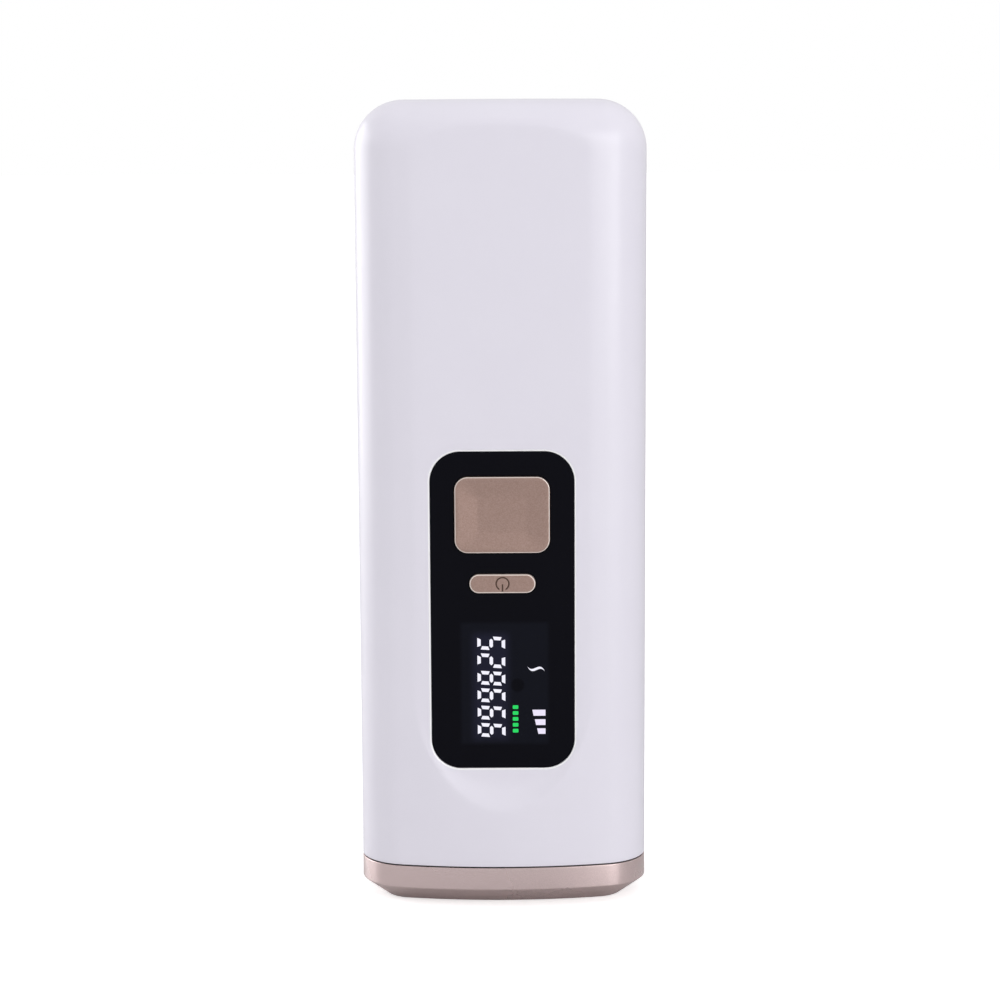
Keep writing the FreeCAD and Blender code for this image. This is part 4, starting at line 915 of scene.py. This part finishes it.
def tinted(tree, shader, factor, dark, light):
    """Base Color runs from dark to light as factor goes from 0 to 1. Gives back the colour."""
    mix = linked_node(tree, "ShaderNodeMix", {"Factor": factor, "A": dark, "B": light}, data_type="RGBA")
    tree.links.new(mix.outputs["Result"], shader.inputs["Base Color"])
    return mix.outputs["Result"]


def edge_line(tree, middle, half, radius, width):
    """Places the outline group, with sizes in millimetres."""
    node = tree.nodes.new("ShaderNodeGroup")
    node.node_tree = OUTLINE
    for label, value in (("Centre Z", middle), ("Half Width", half[0]), ("Half Height", half[1]),
                         ("Radius", radius), ("Width", width)):
        node.inputs[label].default_value = value * MM
    return node.outputs["Mask"]


# %% [markdown]
# ## The white shells
#
# The grip is white ABS with a satin finish and a slight violet cast. Light enters such plastic a little
# way, so a small subsurface weight softens its shading, and a thin clear coat gives the soft highlight.
# The rim of the panel's recess gets a painted highlight, a thin line mixed toward white, on the front only.

# %% White satin plastic
RECESS_GROW, RECESS_LINE = 0.24, 0.3
white, tree, shader = new_material("white_satin_plastic", {
    "Base Color": (0.78, 0.75, 0.82, 1), "IOR": 1.5, "Subsurface Weight": 0.06, "Subsurface Scale": 0.002,
    "Subsurface Radius": (1.0, 0.95, 1.0), "Coat Weight": 0.3, "Coat Roughness": 0.16})
tone = moulded(tree, shader, roughness=0.38, drift=0.05, grain_scale=2200.0, grain_height=0.03)
body = tinted(tree, shader, tone, (0.765, 0.738, 0.825, 1), (0.79, 0.765, 0.848, 1))
# Painted highlight: a thin white line along the recess rim on the front face, standing in for light caught by the
# rim.
line = edge_line(tree, panel_mid[2], panel_half[[0, 2]] + RECESS_GROW, PANEL_CORNER + RECESS_GROW, RECESS_LINE)
depth = linked_node(tree, "ShaderNodeSeparateXYZ", {"Vector": own_place(tree)}).outputs["Y"]
bright = maths(tree, "MULTIPLY", line, maths(tree, "LESS_THAN", depth, FRONT_SIDE * MM))
tinted(tree, shader, bright, body, (1.0, 1.0, 1.0, 1))

# %% [markdown]
# ## Rose-gold paint
#
# The collar and both buttons are sprayed with a metallic paint: tiny flakes under a clear coat. Flakes are
# cells of a fine Voronoi pattern, each with its own brightness, and the shared group's grain tilts the
# normal a little. Along a button's rim a bright line is painted in as a painted highlight.

# %% Metallic paint
# Colour of the painted highlight along a button's rim.
RIM_HIGHLIGHT = (0.95, 0.85, 0.79, 1)
EDGE_STEP = 0.12


def metallic_paint(name, base, flake, rough, coat, edges=()):
    """edges lists the outlines, each a middle height, half sizes and a corner, along which a bright line is
    painted as a painted highlight.
    """
    material, tree, shader = new_material(name, {
        "Metallic": 0.85, "Coat Weight": coat, "Coat Roughness": 0.12, "IOR": 1.5})
    moulded(tree, shader, roughness=rough, drift=0.08, grain_scale=4200.0, grain_height=0.16)
    flakes = linked_node(tree, "ShaderNodeTexVoronoi", {"Vector": own_place(tree), "Scale": 5200.0})
    tone = linked_node(tree, "ShaderNodeSeparateColor", {"Color": flakes.outputs["Color"]})
    paint = tinted(tree, shader, tone.outputs["Red"], base, flake)
    if edges:
        lines = [edge_line(tree, middle, half - EDGE_STEP, corner - EDGE_STEP, 0.2)
                 for middle, half, corner in edges]
        # Painted highlight: the colour is mixed toward a pale tone along each button's rim.
        tinted(tree, shader, maths(tree, "MULTIPLY", maths(tree, "MAXIMUM", *lines), 0.9), paint, RIM_HIGHLIGHT)
    return material


rose = metallic_paint("rose_gold_paint", (0.374, 0.248, 0.210, 1), (0.44, 0.303, 0.262, 1), 0.36, 0.2,
                      [(flash_mid[2], FLASH_HALF, FLASH_CORNER), (power_mid[2], POWER_HALF, POWER_CORNER)])

# %% Painted shade in the power mark's groove, and a painted highlight on the button's rim
groove_shade_and_highlight, tree, shader = new_material("groove_shade_and_highlight", {"Metallic": 0.6})
# Painted shade: dark within 1.8 mm of the mark's middle, where the groove floor shows, standing in for shade in
# the groove.
reach = vector_number(tree, "DISTANCE", own_place(tree), (0, POWER_FACE * MM, power_mid[2] * MM))
away = ranged(tree, reach, 1.8 * MM, 1.9 * MM)
groove_shaded = tinted(tree, shader, away, (0.10, 0.06, 0.045, 1), (0.42, 0.28, 0.24, 1))
# Painted highlight: a bright line along the pill's rim.
line = edge_line(tree, power_mid[2], POWER_HALF - EDGE_STEP, POWER_CORNER - EDGE_STEP, 0.24)
tinted(tree, shader, line, groove_shaded, RIM_HIGHLIGHT)
moulded(tree, shader, roughness=0.42, drift=0.08, grain_scale=4200.0, grain_height=0.16)
blush = metallic_paint("blush_gold_paint", (0.62, 0.492, 0.485, 1), (0.68, 0.545, 0.538, 1), 0.27, 0.22)

# %% [markdown]
# ## The black panel
#
# Black acrylic is almost mirror smooth. Behind its lower half the display's window shows as a slightly
# lighter patch, with a round sensor port in it. A faint blue painted glow round the numerals stands in for
# the display's light on the panel. All are soft masks made from Object coordinates, so they stay on the
# panel in every view.


# %% Glossy black acrylic
def soft_box(tree, place, centre, half, blur):
    """1 inside a rectangle in X and Z, falling to 0 over blur outside it."""
    parts = linked_node(tree, "ShaderNodeSeparateXYZ", {"Vector": place}).outputs
    masks = []
    for axis, middle, reach in zip(("X", "Z"), centre, half):
        off = maths(tree, "ABSOLUTE", maths(tree, "SUBTRACT", parts[axis], middle * MM))
        masks.append(ranged(tree, off, (reach + blur) * MM, reach * MM, soft=True))
    return maths(tree, "MULTIPLY", *masks)


PORT_X, PORT_Z, PORT_IN, PORT_OUT = 3.2, 50.2, 1.2, 1.8
black, tree, shader = new_material("black_acrylic", {"IOR": 1.49, "Specular IOR Level": 0.08})
moulded(tree, shader, roughness=0.16, drift=0.03, grain_scale=900.0, grain_height=0.01)
place = own_place(tree)
window = soft_box(tree, place, (0.4, 50.6), (9.0, 13.0), 1.2)
port_spot = vector_number(tree, "DISTANCE", place, (PORT_X * MM, FACE * MM, PORT_Z * MM))
port = ranged(tree, port_spot, PORT_IN * MM, PORT_OUT * MM, soft=True)
printed = tinted(tree, shader, maths(tree, "MULTIPLY", window, port), (0.0016, 0.0016, 0.0042, 1),
                 (0.0044, 0.0050, 0.0096, 1))
# Painted glow: the panel's colour is mixed toward blue round the numerals, standing in for the display's light.
painted_glow = soft_box(tree, place, (-2.7, 49.9), (2.6, 10.6), 2.6)
tinted(tree, shader, maths(tree, "MULTIPLY", painted_glow, 0.5), printed, (0.020, 0.020, 0.044, 1))

# %% [markdown]
# ## Light from the display
#
# Lit segments are emissive. A faint second tone across each tile keeps them from looking like paper.


# %% Emissive tiles
def lit(name, colour, strength):
    material, tree, shader = new_material(name, {
        "Base Color": (*[0.08 * c for c in colour], 1), "Roughness": 0.4, "Emission Strength": strength})
    dim = (*[0.9 * c for c in colour], 1)
    glow = noise(tree, own_place(tree), 900.0, 1.0)
    mix = linked_node(tree, "ShaderNodeMix", {"Factor": glow, "A": dim, "B": (*colour, 1)}, data_type="RGBA")
    tree.links.new(mix.outputs["Result"], shader.inputs["Emission Color"])
    return material


white_light = lit("display_white", (0.90, 0.89, 1.0), 0.98)
bar_light = lit("display_bar_white", (0.86, 0.80, 0.98), 0.95)
green_light = lit("display_green", (0.0, 0.70, 0.11), 0.95)

# %% [markdown]
# ## Everything else
#
# The inside is dressed too: black glass-filled plastic, ceramic, aluminium, steel, copper wire, green
# boards, glass and rubber. Most are the same idea with other numbers: a base colour that varies, and the
# moulded-surface group. Metals get a brushed grain by stretching the noise along one axis.


# %% Plain, brushed and clear finishes
def plain(name, dark, light, rough, grain=1500.0, height=0.08):
    material, tree, shader = new_material(name, {})
    tone = moulded(tree, shader, roughness=rough, drift=0.1, grain_scale=grain, grain_height=height)
    tinted(tree, shader, tone, (*dark, 1), (*light, 1))
    return material


def brushed(name, dark, light, rough):
    material, tree, shader = new_material(name, {"Metallic": 1.0})
    drawn = linked_node(tree, "ShaderNodeMapping", {"Vector": own_place(tree), "Scale": (1, 1, 12)})
    lines = noise(tree, drawn.outputs["Vector"], 260.0, 4.0)
    tinted(tree, shader, lines, (*dark, 1), (*light, 1))
    tree.links.new(ranged(tree, lines, 0.0, 1.0, rough - 0.06, rough + 0.08), shader.inputs["Roughness"])
    bumped(tree, shader, lines, 0.06, 0.0002)
    return material


def clear_glass(name, colour, rough=0.03):
    material, tree, shader = new_material(name, {
        "Base Color": (*colour, 1), "Transmission Weight": 1.0, "IOR": 1.52, "Roughness": rough})
    smear = noise(tree, own_place(tree), 220.0, 3.0)
    tree.links.new(ranged(tree, smear, 0.0, 1.0, rough, rough + 0.05), shader.inputs["Roughness"])
    return material


dark_plastic = plain("black_glass_filled_plastic", (0.012, 0.012, 0.014), (0.024, 0.024, 0.027), 0.5, height=0.2)
rubber = plain("black_rubber", (0.010, 0.010, 0.010), (0.018, 0.018, 0.018), 0.75, height=0.3)
light_plastic = plain("white_frame_plastic", (0.72, 0.72, 0.72), (0.80, 0.80, 0.80), 0.45)
ceramic = plain("cream_ceramic", (0.70, 0.66, 0.58), (0.80, 0.76, 0.69), 0.6, grain=2600.0, height=0.3)
ferrite = plain("grey_ferrite", (0.030, 0.030, 0.034), (0.060, 0.060, 0.065), 0.55, grain=2600.0, height=0.35)
steel = brushed("turned_steel", (0.50, 0.50, 0.52), (0.68, 0.68, 0.70), 0.28)
aluminium = brushed("extruded_aluminium", (0.62, 0.63, 0.65), (0.80, 0.81, 0.83), 0.32)
mirror_metal = brushed("polished_reflector", (0.85, 0.85, 0.86), (0.92, 0.92, 0.93), 0.1)
brass = brushed("plated_brass", (0.62, 0.45, 0.17), (0.80, 0.60, 0.26), 0.3)
window_glass = clear_glass("sapphire_window", (0.93, 0.97, 1.0))
filter_glass = clear_glass("amber_filter", (1.0, 0.62, 0.30))
display_glass = plain("dark_display_glass", (0.01, 0.01, 0.013), (0.02, 0.02, 0.025), 0.12, height=0.01)


# %% Wound wire and circuit boards
def wound(name, dark, light, pitch):
    """Enamelled wire in layers: bands along Z, rounded by a bump."""
    material, tree, shader = new_material(name, {"Metallic": 0.7, "Coat Weight": 0.4, "Roughness": 0.35})
    bands = linked_node(tree, "ShaderNodeTexWave", {"Vector": own_place(tree), "Scale": pitch, "Distortion": 0.3},
                        bands_direction="Z").outputs["Fac"]
    tinted(tree, shader, bands, (*dark, 1), (*light, 1))
    bumped(tree, shader, bands, 0.5, 0.0003)
    return material


def circuit_board(name):
    """Green solder mask over copper tracks: a square cell pattern shows faint lines under the mask."""
    material, tree, shader = new_material(name, {"Coat Weight": 0.3, "Coat Roughness": 0.2})
    cells = linked_node(tree, "ShaderNodeTexVoronoi", {"Vector": own_place(tree), "Scale": 260.0},
                        distance="MANHATTAN", feature="F1")
    tracks = ranged(tree, cells.outputs["Distance"], 0.35, 0.45)
    tinted(tree, shader, tracks, (0.012, 0.10, 0.035, 1), (0.03, 0.17, 0.06, 1))
    moulded(tree, shader, roughness=0.32, drift=0.1, grain_scale=1800.0, grain_height=0.05)
    return material


copper = wound("copper_winding", (0.30, 0.11, 0.045), (0.66, 0.29, 0.13), 1400.0)
board_green = circuit_board("green_circuit_board")

# %% [markdown]
# ## Dressing the pieces
#
# New pieces take their material directly. Every CAD node that is still shown takes the material of its
# slot in the record, so no node is left bare.

# %% Assign the materials
SLOT_FINISH = {
    "white_housing": white, "rose_gold": rose, "black_panel": black, "black_rubber": rubber,
    "dark_plastic": dark_plastic, "white_plastic": light_plastic, "clear_glass": window_glass,
    "filter_glass": filter_glass, "display_glass": display_glass, "steel": steel, "brass": brass,
    "ceramic": ceramic, "mirror_metal": mirror_metal, "aluminium": aluminium, "board": board_green,
    "ferrite": ferrite, "copper": copper}
PIECE_FINISH = (
    (white, (front_shell, rear_shell, screw_wells, parting_lip)), (blush, (collar,)), (rubber, (gasket,)),
    (black, (panel,)), (rose, (flash_button, power_face)), (groove_shade_and_highlight, (power_body,)),
    (white_light, (counter, wave_mark)), (green_light, (status,)), (bar_light, (level,)))


def finish_with(piece, material):
    piece.data.materials.clear()
    piece.data.materials.append(material)


for part in frame["record"]["subparts"]:
    finish_with(frame["nodes"][part["node"]], SLOT_FINISH[part["material_slot"]])
for material, pieces in PIECE_FINISH:
    for piece in pieces:
        finish_with(piece, material)

# %% [markdown]
# ## Floor and sky
#
# The set is a plain white sweep. Seen straight on, floor and sky are pure white. For every other ray the
# floor is a little darker and glossier and the sky a little dimmer, or the white grip would be lost in
# front of them. The Light Path node tells the two kinds of ray apart.

# %% White floor
SKY, FLOOR_REACH, FLOOR_WHITE = 0.775, 60.0, 0.93
AWAY = (0.8, 0.6, 0.0)
WHITE = (1, 1, 1, 1)
mesh = bpy.data.meshes.new("studio_floor")
mesh.from_pydata([(FLOOR_REACH * x, FLOOR_REACH * y, 0) for x, y in ((-1, -1), (1, -1), (1, 1), (-1, 1))],
                 [], [(0, 1, 2, 3)])
floor = bpy.data.objects.new("studio_floor", mesh)
bpy.context.scene.collection.objects.link(floor)
pale, tree, shader = new_material("pale_floor", {"Emission Color": WHITE})
camera_ray = linked_node(tree, "ShaderNodeLightPath").outputs["Is Camera Ray"]
behind = vector_number(tree, "DOT_PRODUCT", own_place(tree), AWAY)
albedo = ranged(tree, behind, 0.02, 0.06, 0.74, 0.5, soft=True)
tinted(tree, shader, maths(tree, "MAXIMUM", albedo, camera_ray), (0, 0, 0, 1), (*[FLOOR_WHITE] * 3, 1))
glow = maths(tree, "MULTIPLY", camera_ray, 1.2 - FLOOR_WHITE * SKY)
for socket, value in (("Roughness", ranged(tree, camera_ray, 0.0, 1.0, 0.22, 1.0)),
                      ("Specular IOR Level", ranged(tree, camera_ray, 0.0, 1.0, 0.5, 0.0)),
                      ("Emission Strength", glow)):
    tree.links.new(value, shader.inputs[socket])
finish_with(floor, pale)

# %% White sky
world = bpy.data.worlds.new("white_studio")
bpy.context.scene.world = world
world.use_nodes = True
tree = world.node_tree
sky = tree.nodes["Background"]
sky.inputs["Color"].default_value = WHITE
way = linked_node(tree, "ShaderNodeTexCoord").outputs["Generated"]
toward = vector_number(tree, "DOT_PRODUCT", way, AWAY)
tree.links.new(ranged(tree, toward, 0.4, 0.9, SKY, 0.95 * SKY, soft=True), sky.inputs["Strength"])
seen = linked_node(tree, "ShaderNodeBackground", {"Color": WHITE, "Strength": 1.0})
camera_ray = linked_node(tree, "ShaderNodeLightPath").outputs["Is Camera Ray"]
either = linked_node(tree, "ShaderNodeMixShader", {0: camera_ray, 1: sky.outputs[0], 2: seen.outputs[0]})
tree.links.new(either.outputs[0], tree.nodes["World Output"].inputs["Surface"])
print("the sky's strength is", SKY, "for all but the camera's own rays")

# %% [markdown]
# ## Lamps and camera
#
# A large soft lamp stands in front on the right and lights the face. A broad one behind on the left draws
# the bright edge along that side, and a weak one overhead evens out the round tail. The camera has a long
# lens, stands a little above the object's middle and looks slightly down.


# %% Lamps
def soft_lamp(name, place, aim, width, height, power):
    """A rectangular lamp of power watts at place, turned towards aim."""
    lamp = bpy.data.lights.new(name, "AREA")
    lamp.shape = "RECTANGLE"
    lamp.size, lamp.size_y, lamp.energy = width, height, power
    holder = bpy.data.objects.new(name, lamp)
    holder.location = place
    holder.rotation_euler = (Vector(aim) - Vector(place)).to_track_quat("-Z", "Y").to_euler()
    bpy.context.scene.collection.objects.link(holder)
    print(f"{name}: {width} x {height} m, {power} W")


soft_lamp("front_right_softbox", (0.56, -0.66, 0.36), (0, 0, 0.09), 0.5, 0.66, 3.0)
soft_lamp("left_back_softbox", (-0.70, 0.33, 0.16), (0, 0, 0.09), 0.7, 0.75, 4.4)
soft_lamp("overhead_softbox", (0.0, 0.05, 0.75), (0, 0, 0.1), 0.6, 0.6, 0.2)

# %% Camera
AIM_HEIGHT, DISTANCE, TILT, ROLL = 0.089, 0.5343, 7.99, 0.298
lens = bpy.data.cameras.new("product_camera")
lens.lens, lens.sensor_width = 85, 36
lens.shift_x, lens.shift_y = -0.0020, -0.0012
camera = bpy.data.objects.new("product_camera", lens)
camera.location = (0, -DISTANCE * cos(radians(TILT)), AIM_HEIGHT + DISTANCE * sin(radians(TILT)))
camera.rotation_mode = "XYZ"
camera.rotation_euler = (radians(90 - TILT), 0, 0)
camera.rotation_euler.rotate_axis("Z", radians(-ROLL))
bpy.context.scene.collection.objects.link(camera)
bpy.context.scene.camera = camera
bpy.context.scene.view_settings.view_transform = "Standard"
print("camera", DISTANCE, "m away, tilted down", TILT, "degrees")
